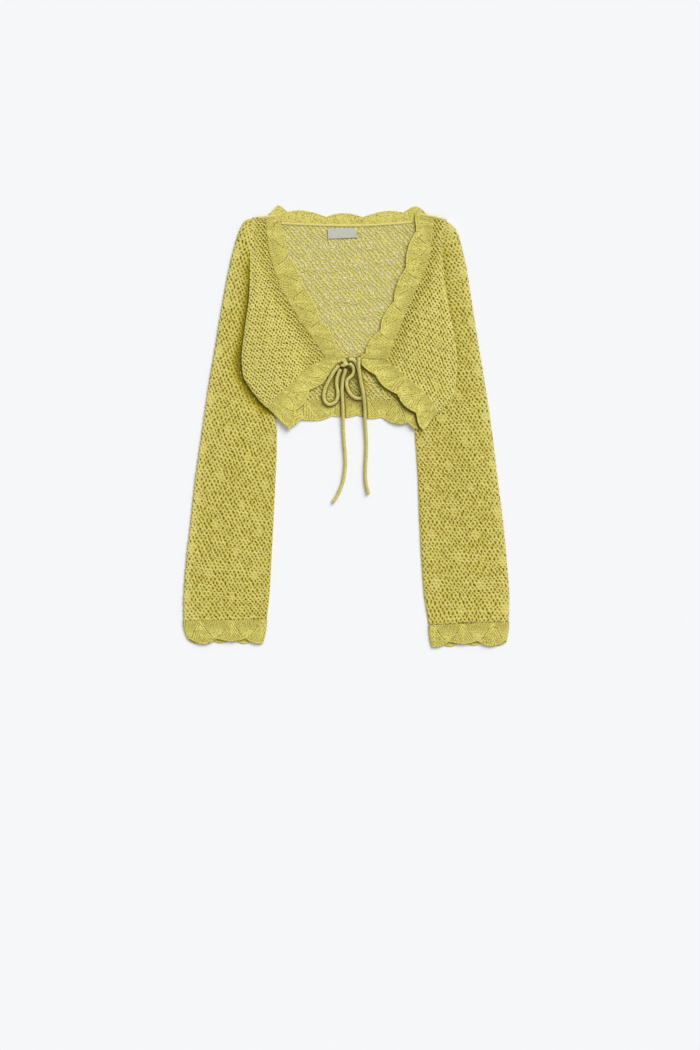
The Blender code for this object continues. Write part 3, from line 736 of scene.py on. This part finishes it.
def lay_front(side):
    join_line = curve(column(FRONTS[side], "join_x", "join_y"), 80)

    def height(x, y):
        sewn = smooth(UNDER, BESIDE, y)
        rolled = 1 - smooth(0, blend(4.5, 12, sewn), -outside_body(side, x, y))
        return front_height(x, y) - blend(1.6, 1.1, sewn) * rolled

    def pull(places):
        """Beside the neck band the net is pulled."""
        away = np.min(np.linalg.norm(places[:, None] - join_line[None, :50], axis=2), axis=1)
        return 1 - smooth(5, 22, away)

    def slack(places):
        """The holes beside the neck band and at the right front's corner are pulled open."""
        corner = 0.35 * np.exp(-(((places - [128, 64]) / 20) ** 2).sum(axis=1))
        return (1 + 0.45 * pull(places) + corner) * (1 - 0.35 * smooth(296, 304, places[:, 1]))

    # Beside the neck band the pulled holes get deeper painted shade.
    lay_net(f"{side}_front_mesh", f"front_{side}", FRONT_KNIT[side], grain_of(FRONT_GRAIN[side]),
            front_outline(side), height, slack, seed=5, depth=lambda plan: 1 + 0.9 * pull(plan), is_fine=True)


def scalloped_edge(rows, t):
    """The free edge of a band, at t scallops along it."""
    joins, edges = column(rows, "join_x", "join_y"), column(rows, "edge_x", "edge_y")
    join, edge = along(joins, t), along(edges, t)
    depths = column(rows, "depth")[np.minimum(np.asarray(t).astype(int), len(rows) - 2), 0]
    return edge + unit(edge - join) * (depths * np.abs(np.sin(math.pi * t)))[:, None]


EDGE_POINTS = 26  # on the edge of each scallop
BATCH = 4000  # how many points are measured at once
# Painted shadow along a line: how dark, and from and to how far off.
DarkLine = namedtuple("DarkLine", "line depth start reach")


def beside_lines(plan, lines):
    """0 to 2: the painted shadow on the cloth beside what lies on it."""
    shade = np.zeros(len(plan))
    for dark in lines:
        line = dark.line[:, :2]
        near = ((plan > line.min(axis=0) - MARGIN) & (plan < line.max(axis=0) + MARGIN)).all(axis=1)
        spots = plan[near]
        away = np.empty(len(spots))
        for first in range(0, len(spots), BATCH):
            gap = spots[first:first + BATCH, None] - line[None]
            away[first:first + BATCH] = np.sqrt((gap ** 2).sum(axis=2).min(axis=1))
        fade = bell(np.maximum(away - dark.start, 0) / dark.reach)
        shade[near] = np.maximum(shade[near], dark.depth * fade)
    return shade


def cord_lines():
    """Painted shadows beside the cords, and painted shade in the hollow below the knot where they part."""
    hollow = curve([(-3, 92), (1, 84), (0, 74)], 20)
    return [DarkLine(hollow, 1.5, 3.0, 4.0)] + [DarkLine(curve(route, 120), 1.2, 2.6, 2.2)
                                                for route in ROUTES.values()]


def under_fronts(plan):
    """The back's painted shadows beside the cords and the free edges of the right front, which turn away from
    the window, and under the fronts a painted glow of light thrown about inside the garment."""
    rows, corner = FRONTS["right"], CORNER_ROW["right"]
    edge = scalloped_edge(rows, np.linspace(0, len(rows) - 1.001, EDGE_POINTS * (len(rows) - 1)))
    neck, hem = edge[: EDGE_POINTS * corner], edge[EDGE_POINTS * corner:]
    dark = beside_lines(plan, [DarkLine(neck, 0.7, 0.0, 2.0), DarkLine(hem, 1.3, 0.5, 3.2), *cord_lines()])
    x, y = plan.T
    within = np.all([outside_body(side, x, y) < -8 for side in FRONTS], axis=0)
    return np.where(under_either_front(plan) & (dark < 0.1) & within, -0.8, dark)


# The painted shadows on the back's bands, without the glow under the fronts.
def on_back_bands(plan):
    return np.maximum(under_fronts(plan), 0)


def lay_back():
    def low_down(places):
        return smooth(108, 96, places[:, 1])

    def slack(places):
        """The back's holes are drawn close under the fronts and at the shoulders."""
        shoulder = smooth(90, 104, np.abs(places[:, 0])) * smooth(285, 300, places[:, 1])
        return 1 - np.max([0.4 * under_either_front(places), 0.6 * shoulder, 0.45 * low_down(places)], axis=0)

    # Low down the back's holes get deeper painted shade.
    lay_net("back_mesh", "back", BACK_KNIT, grain_of(BACK_GRAIN), back_outline(), body_height, slack, seed=3,
            depth=lambda plan: 0.95 + 0.35 * low_down(plan), yarn=BACK_YARN, shadow=under_fronts)


# ---- the sleeves

SleeveRow = namedtuple("SleeveRow", "y drop")  # how far a course drops, for each millimetre inward
SLEEVE_GRAIN = {
    "left": rows_of(SleeveRow, (320, 0.28), (120, 0.28), (-130, 0.15), (-250, 0.05), (-300, -0.02)),
    "right": rows_of(SleeveRow, (320, 0.16), (120, 0.10), (-130, -0.045), (-300, -0.03)),
}
SLEEVE_REACH = 150  # a little more than half the way round
WALE_SHIFT = -0.25  # keeps the holes of the two walls from falling on each other
LAST_COURSES = 40  # the run over which the courses turn to lie along the cuff's seam


def outer_fold(side):
    """The sleeve's outer fold, finely, from the shoulder down, with its run."""
    fold = curve(column(SLEEVES[side], "outer_x", "outer_y"), 400)
    return fold, run_length(fold)


def tube_place(side, stitches, rise):
    """A sleeve's stitch in the garment: stitches are the distances round from the outer fold, over the upper
    wall where positive, and down the fold. rise is out of the cloth."""
    fold, run = outer_fold(side)
    radius, core = FOLD_HEIGHT / 2, FOLD_HEIGHT / 2 - WALL / 2
    quarter = core * math.pi / 2
    a, b = stitches[:, 0], stitches[:, 1]
    angle = np.clip(a / core, -math.pi / 2, math.pi / 2)
    inward = radius - (core + rise) * np.cos(angle) + np.maximum(np.abs(a) - quarter, 0)
    fx, fy = np.interp(b, run, fold[:, 0]), np.interp(b, run, fold[:, 1])
    drops = SLEEVE_GRAIN[side][::-1]
    drop = np.interp(fy, [row.y for row in drops], [row.drop for row in drops]) * np.sign(a)
    x = fx + INWARD[side] * inward
    y = fy - drop * inward
    end = SLEEVES[side][-1]
    seam_y = np.interp(x, *zip(*sorted([(end.outer_x, end.outer_y), (end.inner_x, end.inner_y)])))
    last_run = run[-1] - LAST_COURSES
    y = np.where(b > last_run, blend(y, seam_y + (run[-1] - b), smooth(last_run, run[-1], b)), y)
    left_over = -inside_fold(side, x, y)
    closed = 1 - smooth(85, 112, y)
    near = np.clip((left_over - blend(0.3, WALL / 2, closed)) / core, 0, 1)
    turn = blend(1, np.sqrt(np.maximum(1 - (1 - near) ** 2, 0)), closed)
    width = np.maximum(-inside_fold(side, fx, y), 1)
    crown = sleeve_crown(side, x, y, inward / width) * smooth(0, 1, np.sin(angle))
    z = radius + (core + rise) * np.sin(angle) * turn + crown * turn
    return np.column_stack([x, y, z]), left_over


# How deep the crease is where a sleeve comes out from under the body, as a trough and as painted shade:
# (y, depth, reach) up the body's edge
BODY_CREASE = {
    "left": [(14, 0, 12), (30, 1.2, 12), (95, 1.2, 11), (130, 0.9, 8), (200, 0.9, 8), (238, 0.8, 8),
             (262, 0, 8)],
    "right": [(40, 0, 8), (60, 0.1, 8), (262, 0.22, 8), (280, 0, 8)],
}


def body_crease(side, place):
    """The trough in a sleeve's upper wall beside the body's edge, and its painted shade, 0 where there is
    none.
    """
    x, y, z = place.T
    outside = outside_body(side, x, y)
    ys, depths, reaches = zip(*BODY_CREASE[side])
    depth, reach = np.interp(y, ys, depths), np.interp(y, ys, reaches)
    return depth * bell(np.maximum(outside, 0) / reach) * (outside > -20) * (z > FOLD_HEIGHT / 2)


def lay_sleeve(side):
    run = outer_fold(side)[1][-1]
    rows = round(run / SLEEVE_KNIT[side].course)
    knit = SLEEVE_KNIT[side]._replace(course=run / rows)
    widest = int(SLEEVE_REACH / knit.wale)

    def reaches(stitches):
        return tube_place(side, stitches, 0)[1] > -knit.wale

    def slack(middle):
        """The lower wall lies relaxed, and its holes are smaller."""
        return np.where(middle[:, 0] < 0, 0.55, 1)

    name = f"{side}_sleeve_mesh"
    flat, faces = knit_flat(name, knit, (-widest, widest), (0, rows + 1), reaches, WALE_SHIFT)
    flat = loosened(flat, knit, WALE_SHIFT, slack)
    flat[:, 1] = np.clip(flat[:, 1], 0, run)
    shifted = flat[:, :2] + unevenness(flat[:, :2], 11) * smooth(0, 12, flat[:, 1:2])
    shifted[:, 1] = np.clip(shifted[:, 1], 0, run)
    _, left_over = tube_place(side, shifted, flat[:, 2])
    faces, used = keep_faces(faces, left_over > 0.4)
    flat, shifted, left_over = flat[used], shifted[used], left_over[used]
    place, _ = tube_place(side, shifted, blend(0.4, flat[:, 2], smooth(0, 1.5, left_over)))
    place[:, 0] -= INWARD[side] * np.maximum(0.4 - left_over, 0)
    # The crease beside the body's edge sinks the upper wall and adds painted shade.
    crease = body_crease(side, place)
    place[:, 2] -= 1.5 * crease
    # Painted light: the upper wall has less shade near the outer fold.
    painted_light_at_fold = 1 - 0.4 * bell(flat[:, 0] / 12) * (flat[:, 0] > 0)
    shade = np.minimum(depth_in_yarn(flat[:, 2], knit) * painted_light_at_fold + 1.15 * crease, 2)
    # Painted glow: the lower wall, seen through the holes, takes the colour of light thrown about inside the
    # sleeve.
    shade = blend(shade, -1, smooth(-3, -8, flat[:, 0]))
    net = mesh_object(name, place, faces, MESH_YARN, flat[:, :2], shade=shade)
    finish_piece(net, f"sleeve_{side}")


# ---- the scalloped bands: in each scallop a triangle of fine stitches stands on the edge, with a row of
# eyelets up each side, and between two triangles ribs fan out from the notch to the seam

RIB_COLUMNS = 15  # of half a fan, two to a rib
BELLY_COLUMNS = 20
FAN_AT_EDGE, FAN_AT_SEAM = 0.05, 0.465  # of a scallop's length
EYELET = 0.024  # an eyelet's width, as a share of a scallop's length
EYELETS_FROM, EYELETS_TO = 0.25, 0.78
ROW_STEP = 1.25
RIB_RELIEF = 0.5
BAND_WALL = 1.0
CHEVRON = 2.9  # from one line of the fine stitches to the next, along the band
Grid = namedtuple("Grid", "t v kind rib shape dropped")


def scallop_grid(count, width, closed=False):
    """The columns and rows of a band. t is the place along it in scallops and v the share across it. kind
    tells a fan (0) from a belly (1), and rib counts the columns from the notch."""
    half = np.arange(RIB_COLUMNS) / RIB_COLUMNS
    belly = np.arange(BELLY_COLUMNS) / BELLY_COLUMNS
    at_seam, at_edge = (
        np.concatenate([half * fan, [fan], blend(fan + EYELET, 1 - fan - EYELET, belly), [1 - fan - EYELET],
                        1 - fan + half * fan])
        for fan in (FAN_AT_SEAM, FAN_AT_EDGE)
    )
    kind = np.concatenate([np.zeros(RIB_COLUMNS + 1), np.ones(BELLY_COLUMNS + 1), np.zeros(RIB_COLUMNS)])
    rib = np.concatenate([np.arange(RIB_COLUMNS + 1), np.full(BELLY_COLUMNS + 1, RIB_COLUMNS),
                          RIB_COLUMNS - np.arange(RIB_COLUMNS)])
    columns = len(kind)
    seam, edge = (np.concatenate([places + k for k in range(count)]) for places in (at_seam, at_edge))
    kinds, ribs = np.tile(kind, count), np.tile(rib, count)
    if not closed:
        seam, edge = np.append(seam, count), np.append(edge, count)
        kinds, ribs = np.append(kinds, 0), np.append(ribs, 0)
    rows = int(width / ROW_STEP) + 1
    v = np.linspace(0, 1, rows)
    t = blend(seam[:, None], edge[:, None], v[None])
    dropped = {
        (k * columns + side, r)
        for k in range(count) for side in (RIB_COLUMNS, RIB_COLUMNS + BELLY_COLUMNS + 1)
        for r in range(int(EYELETS_FROM * rows), int(EYELETS_TO * rows), 2)
    }
    shape = (len(seam), rows)
    kinds, ribs = np.repeat(kinds, rows), np.repeat(ribs, rows)
    return Grid(t.ravel(), np.tile(v, shape[0]), kinds, ribs, shape, dropped)


def knit_relief(grid, scallop_length):
    """How far the ribs, the middle rib and the rolled edge stand off, and the values that the yarn reads."""
    spacing = np.abs(np.gradient(grid.t.reshape(grid.shape), axis=0)).ravel() * scallop_length
    local = grid.t - np.floor(grid.t)
    fan = blend(FAN_AT_SEAM, FAN_AT_EDGE, grid.v) + EYELET
    inside = np.minimum(local - fan, 1 - fan - local) * scallop_length
    is_belly = grid.kind > 0.5
    rolled = smooth(0.9, 0.97, grid.v)
    wales = 0.5 * grid.rib + np.where(is_belly, inside / CHEVRON, 0)
    middle = bell((local - 0.5) * scallop_length / 1.3) * smooth(0.1, 0.4, grid.v)
    relief = np.where(is_belly, 0.3 * middle, -np.minimum(RIB_RELIEF, 0.35 * spacing) * (grid.rib % 2))
    groove = np.where(is_belly, 0.7 - 0.6 * middle, 0.95 * smooth(0.3, 1.1, spacing))
    groove = np.where(grid.rib == RIB_COLUMNS, groove * blend(1, 0.45, smooth(3, 0, inside)), groove)
    groove = groove * (1 - rolled)
    relief = blend(relief, 0.15, rolled)
    # Painted shade: a dark line just inside the edge, and in the ribs' valleys.
    shade = 0.4 * bell((grid.v - 0.9) / 0.03) + 0.25 * np.clip(-relief / RIB_RELIEF, 0, 1)
    return relief, {"wales": wales, "groove": groove, "shade": np.clip(shade, 0, 1)}


def grid_faces(columns, rows, dropped=(), closed=False):
    """Quads of a grid, without those whose column and row are dropped."""
    last = columns if closed else columns - 1
    return [
        (c * rows + r, (c + 1) % columns * rows + r, (c + 1) % columns * rows + r + 1, c * rows + r + 1)
        for c in range(last) for r in range(rows - 1) if (c, r) not in dropped
    ]


def make_band(name, node, rows, height, lift=0.0, shadow=None, ribs=1.0, has_eyelets=True):
    """A close-knit band between its seam and its scalloped edge, whose free edge is lifted. ribs says how
    plain its ribs are to see."""
    joins, edges = column(rows, "join_x", "join_y"), column(rows, "edge_x", "edge_y")
    depths = column(rows, "depth")[:, 0]
    count = len(rows) - 1
    run = run_length(curve(0.5 * (joins + edges), 200))
    width = float(np.linalg.norm(edges - joins, axis=1).mean() + 0.6 * depths.mean())
    grid = scallop_grid(count, width)
    join, edge = along(joins, grid.t), along(edges, grid.t)
    depth = depths[np.minimum(grid.t.astype(int), count - 1)] * np.abs(np.sin(math.pi * grid.t))
    plan = blend(join, edge, grid.v[:, None]) + unit(edge - join) * (depth * grid.v)[:, None]
    plan += wander(plan, 9, 0.25, 21) * (smooth(0, 0.15, grid.v) * (1 - smooth(0.9, 1, grid.v)))[:, None]
    relief, values = knit_relief(grid, run[-1] / count)
    under = height(plan[:, 0], plan[:, 1])
    z = under + WALL - 0.1 + relief + lift * smooth(0.5, 1, grid.v) - 0.35 * (1 - smooth(0, 0.08, grid.v))
    z = np.maximum(z, under + BAND_WALL + 0.05)
    values["groove"] = values["groove"] * ribs
    # Painted shadows from what lies on the band or beside it.
    if shadow is not None:
        values["shade"] = np.maximum(values["shade"], shadow(plan))
    uv = np.column_stack([grid.t * run[-1] / count, grid.v * width])
    faces = grid_faces(*grid.shape, grid.dropped if has_eyelets else ())
    band = mesh_object(name, np.column_stack([plan, z]), faces, BAND_YARN, uv, **values)
    finish_cloth(band, node, BAND_WALL)


EDGE_LIFT = {"left": (0.4, 0.8), "right": (1.0, 2.2)}  # of the neck band's and the hem band's free edge


def make_bands():
    for side, rows in FRONTS.items():
        corner, (neck_lift, hem_lift) = CORNER_ROW[side], EDGE_LIFT[side]
        band_rows = [BandRow(*row[2:]) for row in rows]
        make_band(f"{side}_neck_scallops", f"neck_band_{side}", band_rows[: corner + 1], front_height,
                  neck_lift, ribs=0.8)
        # The hem bands get painted shadows beside the cords.
        make_band(f"{side}_hem_scallops", f"hem_band_{side}", band_rows[corner:], front_height, hem_lift,
                  lambda plan: beside_lines(plan, cord_lines()))
    # The back's bands get painted shadows beside the right front's edges and the cords.
    make_band("back_neck_scallops", "neck_band_back", NECK_BAND_BACK, body_height, shadow=on_back_bands,
              ribs=0.4, has_eyelets=False)
    make_band("back_hem_scallops", "hem_band_back", HEM_BAND_BACK, body_height, shadow=on_back_bands)


def make_cuff(side):
    """A cuff: a tube of the same close knit, scalloped all round."""
    last, end = SLEEVES[side][-1], CUFF_ENDS[side]
    width = abs(last.outer_x - last.inner_x)
    radius = FOLD_HEIGHT / 2
    flat = width - 2 * radius
    half = flat + math.pi * radius
    scallops = len(CUFF_DEPTHS)
    grid = scallop_grid(scallops, CUFF_WIDTH, closed=True)
    t = grid.t % scallops
    under = (t - CUFF_ON_TOP) / (scallops - CUFF_ON_TOP)
    s = np.where(t < CUFF_ON_TOP, t / CUFF_ON_TOP * half, half + under * half)
    local = s % half
    bend = np.clip((local - flat) / radius, 0, math.pi)
    inward = np.where(local < flat, local + radius, flat + radius + radius * np.sin(bend))
    up = np.where(local < flat, 1, np.cos(bend))
    upper = s < half
    share = np.where(upper, inward, width - inward) / width
    up = np.where(upper, up, -up)
    depths = np.array(CUFF_DEPTHS)[np.minimum(t.astype(int), scallops - 1)] * np.abs(np.sin(math.pi * t))
    x = blend(blend(last.outer_x, last.inner_x, share), blend(end.outer_x, end.inner_x, share), grid.v ** 2)
    seam_y, edge_y = (blend(ring.outer_y, ring.inner_y, share) for ring in (last, end))
    y = blend(seam_y - SEAM, edge_y - depths, grid.v)
    relief, values = knit_relief(grid, 2 * half / scallops)
    pressed = 1 - 0.3 * smooth(0.6, 1, grid.v)
    crown = CROWN * np.sin(math.pi * np.clip(share, 0, 1)) * smooth(0, 1, up)
    z = np.maximum(radius + ((radius - 0.1 + relief) * up + crown) * pressed, 0.05)
    cuff = mesh_object(f"{side}_cuff_scallops", np.column_stack([x, y, z]),
                       grid_faces(*grid.shape, grid.dropped, closed=True), BAND_YARN,
                       np.column_stack([s, grid.v * CUFF_WIDTH]), **values)
    finish_cloth(cuff, f"cuff_{side}", BAND_WALL, radius * MM)


# ---- the label and the tie

STITCH_STEP = 2.4  # from one stitch of a cord or a seam to the next


def tube(name, line, radius, sides, material, step, width=1.0):
    """A round tube along a line in millimetres, or width times as wide as it is high. radius gives the radius
    at each distance and angle."""
    fine = curve(line, 40 * len(line))
    run = run_length(fine)
    rings = int(run[-1] / step) + 1
    at = np.linspace(0, run[-1], rings)
    route = np.column_stack([np.interp(at, run, fine[:, k]) for k in range(3)])
    ahead = unit(np.gradient(route, axis=0))
    across = unit(np.cross(ahead, [0, 0, 1]))
    over = np.cross(across, ahead)
    angles = np.arange(sides) * 2 * math.pi / sides
    reach = radius(at[:, None], angles[None]) + 0 * angles
    points = (route[:, None] + reach[..., None] * (width * np.cos(angles)[None, :, None] * across[:, None]
                                                   + np.sin(angles)[None, :, None] * over[:, None]))
    points = np.concatenate([points.reshape(-1, 3), route[:1], route[-1:]])
    round_about = [(r, (r + 1) % sides) for r in range(sides)]
    faces = [(c * sides + r, c * sides + n, (c + 1) * sides + n, (c + 1) * sides + r)
             for c in range(rings - 1) for r, n in round_about]
    first, last = rings * sides, (rings - 1) * sides
    for r, n in round_about:
        faces += [(first, n, r), (first + 1, last + r, last + n)]
    # Painted shade where the tube is drawn in; with the groove value, the furrows between its V-shaped
    # stitches are painted darker and sunk as bump.
    low = np.clip((reach.max() - reach) / 1.4, 0, 0.4)
    wales = at[:, None] / STITCH_STEP + 1.2 * np.abs(angles / math.pi - 1)[None]  # stitches that meet in a V
    values = {key: np.append(value.ravel(), [0, 0])
              for key, value in (("shade", low), ("wales", wales), ("groove", np.full(low.shape, 0.5)))}
    piece = mesh_object(name, points, faces, material, **values)
    turn_faces(piece)
    return piece, route, run[-1]


def seam_radius(at, angle):
    """A seam's two edges, turned in, with a waist at each stitch."""
    return 1 + 0.12 * np.cos(2 * math.pi * at / STITCH_STEP)


def make_seams():
    """The raised seams that join the back to its neck band and, at the shoulders, the fronts to the back."""
    lines = {
        "back_neck_seam": (
            [(-98, 304.6), (-50, 302.4), (5, 301), (50, 302.6), (97, 306.2)], body_height, -0.3),
        "left_shoulder_seam": ([(-133, 312.6), (-123, 313.6), (-106, 315.4)], front_height, -0.4),
        "right_shoulder_seam": ([(141, 311.2), (131, 313.8), (109, 318)], front_height, -0.4),
    }
    for name, (places, height, rise) in lines.items():
        plan = curve(places, 21)
        line = np.column_stack([plan, height(*plan.T) + WALL + rise])
        seam, _, _ = tube(name, line, seam_radius, 10, SEAM_YARN, 0.8, width=1.8)
        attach(seam, "root")


def make_label():
    corners = np.array(LABEL_CORNERS)
    columns, rows = 45, 17
    us, vs = np.meshgrid(np.linspace(0, 1, columns), np.linspace(0, 1, rows), indexing="ij")
    us, vs = us.ravel()[:, None], vs.ravel()[:, None]
    plan = blend(blend(corners[0], corners[1], us), blend(corners[3], corners[2], us), vs)
    hem = np.minimum(us, 1 - us).ravel()
    z = body_height(plan[:, 0], plan[:, 1]) + WALL + SEAM + 0.55 + 0.2 * (1 - smooth(0.03, 0.05, hem))
    label = mesh_object("neck_label_tape", np.column_stack([plan, z]), grid_faces(columns, rows), LABEL_TAPE,
                        np.column_stack([us * LABEL_SIZE[0], vs * LABEL_SIZE[1]]))
    finish_cloth(label, "label", 0.5)


ROUTES = {
    "loop_left": [
        (-11.2, 91.2, 7.6), (-15.8, 85.8, 7.3), (-20, 80, 6.9), (-24, 73, 6.4), (-28, 65.5, 5.4),
        (-31.4, 58.5, 4.8), (-33.4, 51, 4.7), (-33.9, 44, 4.7), (-32.3, 38, 4.7), (-28.9, 34, 4.7),
        (-24, 32.8, 4.7), (-19, 34.8, 4.7), (-15.2, 39, 4.7), (-13.2, 45, 4.7), (-13.2, 52, 4.7),
        (-14.4, 58.5, 4.7), (-15, 65, 4.8), (-14.3, 72, 5.2), (-12.2, 78.5, 6.2), (-9, 85.6, 7.4),
    ],
    "loop_right": [
        (4.2, 93.4, 8), (7.6, 91.6, 7.2), (10.2, 87.5, 6), (10.8, 82, 5), (8.9, 77, 4.7), (5, 73.3, 4.7),
        (1.5, 70, 4.7), (0.2, 65.5, 4.7), (0.6, 60, 4.7), (2.4, 54.5, 4.7), (5.6, 49, 4.7),
        (10.4, 44.6, 4.7), (16, 42.2, 4.7), (21.5, 42.4, 4.7), (25.2, 46, 4.7), (25, 52, 4.7),
        (23, 60, 4.7), (21, 69, 4.7), (19.4, 78, 4.7), (17.6, 87, 5), (14.6, 94.5, 6), (9.6, 99.6, 7.2),
        (3.6, 100.4, 8),
    ],
    "tail_left": [
        (-1.2, 86, 7.6), (-2.8, 80, 6.6), (-5.2, 72, 5.2), (-6.4, 62, 4.7), (-6.6, 52, 4.7), (-6, 40, 4.7),
        (-5.2, 26, 4.6), (-5, 11, 4.2), (-4.5, -7, 3.1), (-3.5, -25, 2.85), (-2, -41, 2.85),
        (-1.5, -56, 2.85), (-3, -70, 2.85), (-5, -82, 2.85), (-8.5, -92, 2.85), (-13.5, -103, 2.9),
        (-20, -113, 3.2),
    ],
    "tail_right": [
        (18.5, 102.5, 8.6), (18.4, 96, 10.6), (18.6, 88, 11), (19.6, 79, 10.8), (21, 70, 10.7),
        (22.8, 61, 10.7), (24.8, 52, 10.7), (26, 44, 10.2), (27, 35, 7.8), (27.5, 25, 5.2), (28, 10, 4.5),
        (29, -7, 3.1), (30, -25, 2.85), (29.5, -43, 2.85), (28.5, -61, 2.85), (28.5, -77, 2.85),
        (30, -89, 2.95), (33, -100.5, 3.45),
    ],
}
CORD_RINGS_STEP = 0.85
CORD_SIDES = 14
CORD_WALES, CORD_RELIEF = 7, 0.14
# How far the cut end is swollen, as a share of the radius.
CORD_ENDS = {"tail_left": 0.12, "tail_right": 0.22}
KNOT_CENTRE = (-3.5, 94.5, 7.8)
KNOT_REACH, KNOT_RISE = 4.1, 1.7  # how far a turn goes to each side of its middle, and up
KNOT_SQUEEZE = 0.86  # how thick the cord is where it is pulled tight, as a share
KnotTurn = namedtuple("KnotTurn", "angle beside rise")  # the way a turn of the knot runs, and where it lies
KNOT_TURNS = rows_of(KnotTurn, (15, -2.4, -0.3), (-40, 1.6, -0.9), (80, -0.6, 0.2))


def cord_radius(at, angle):
    """A knitted cord's wales show as low ribs along it and its courses as waists round it."""
    ribs, waists = np.cos(CORD_WALES * angle), np.cos(2 * math.pi * at / STITCH_STEP)
    return CORD / 2 - 0.2 + CORD_RELIEF * ribs + CORD_RELIEF * waists


def make_knot():
    """The knot: turns of the cord laid over each other and pulled flat."""
    def squeezed(at, angle):
        return KNOT_SQUEEZE * cord_radius(at, angle)

    shape = bmesh.new()
    for turn in KNOT_TURNS:
        ahead = np.array([math.cos(math.radians(turn.angle)), math.sin(math.radians(turn.angle)), 0])
        beside = np.array([-ahead[1], ahead[0], 0])
        bow = np.radians(np.linspace(-35, 215, 9))[:, None]
        line = (np.array(KNOT_CENTRE) + KNOT_REACH * np.cos(bow) * ahead + turn.beside * beside
                + (KNOT_RISE * np.sin(bow) + turn.rise) * np.array([0, 0, 1]))
        piece, _, _ = tube("turn", line, squeezed, CORD_SIDES, TIE_YARN, 0.7)
        shape.from_mesh(piece.data)
        bpy.data.objects.remove(piece)
    mesh = bpy.data.meshes.new("bow_knot_wraps")
    shape.to_mesh(mesh)
    shape.free()
    mesh.materials.append(TIE_YARN)
    mesh.shade_smooth()
    finish_piece(new_object("bow_knot_wraps", mesh), "bow_knot")


def make_cord(name, route):
    full = run_length(curve(route, 40 * len(route)))[-1]
    swell = CORD_ENDS.get(name, 0)

    def radius(at, angle):
        return cord_radius(at, angle) * (1 + swell * bell((full - 1.8 - at) / 1.8))

    cord, line, length = tube(f"{name}_cord", route, radius, CORD_SIDES, TIE_YARN, CORD_RINGS_STEP)
    finish_piece(cord, name)


# ---- the cut of each panel, worked out and not used


def declare_panels():
    back_outline()
    for side, rows in SLEEVES.items():
        front_outline(side)
        inner = column(rows, "inner_x", "inner_y")
        outline = np.concatenate([outer_fold(side)[0], inner[:0:-1], armhole(side, 21)[::-1]])


# ---- the floor, the light and the camera

def make_stage():
    mesh = bpy.data.meshes.new("floor")
    corners = [(x * FLOOR_REACH, y * FLOOR_REACH, 0) for x, y in ((-1, -1), (1, -1), (1, 1), (-1, 1))]
    mesh.from_pydata(corners, [], [(0, 1, 2, 3)])
    floor = new_object("floor", mesh)
    # Matt paper gives the photograph's even, shadow-catching ground without a glare.
    paper, _, _ = new_material(
        "matt white paper", Base_Color=linear("#F4F5F7"), Roughness=0.9, Specular_IOR_Level=0.1)
    mesh.materials.append(paper)

    world = bpy.data.worlds.new("studio")
    bpy.context.scene.world = world
    world.use_nodes = True
    sky = world.node_tree.nodes["Background"]
    sky.inputs["Color"].default_value = (1, 1, 1, 1)
    sky.inputs["Strength"].default_value = SKY_LIGHT
    lamp = bpy.data.lights.new("window", "SUN")
    lamp.angle = math.radians(SUN_SPREAD)
    lamp.energy = SUN_LIGHT * math.pi / Vector(SUN_FROM).normalized().z
    new_object("window", lamp).rotation_euler = Vector(SUN_FROM).to_track_quat("Z", "Y").to_euler()


def make_camera():
    data = bpy.data.cameras.new("camera")
    data.sensor_width = SENSOR
    data.lens = SENSOR * CAMERA_HEIGHT / (PHOTO_HEIGHT * MM_PER_PIXEL)
    data.clip_end = 50
    camera = new_object("camera", data)
    middle_x = (PHOTO_WIDTH / 2 - ORIGIN_PIXEL[0]) * MM_PER_PIXEL
    middle_y = (ORIGIN_PIXEL[1] - PHOTO_HEIGHT / 2) * MM_PER_PIXEL
    camera.location = (middle_x * MM, middle_y * MM, CAMERA_HEIGHT * MM)
    bpy.context.scene.camera = camera
    bpy.context.scene.view_settings.view_transform = "Standard"


make_camera()
make_knot()
for name, route in ROUTES.items():
    make_cord(name, route)
lay_back()
for side in FRONTS:
    lay_front(side)
for side in SLEEVES:
    lay_sleeve(side)
make_bands()
for side in SLEEVES:
    make_cuff(side)
make_seams()
make_label()
make_stage()
declare_panels()
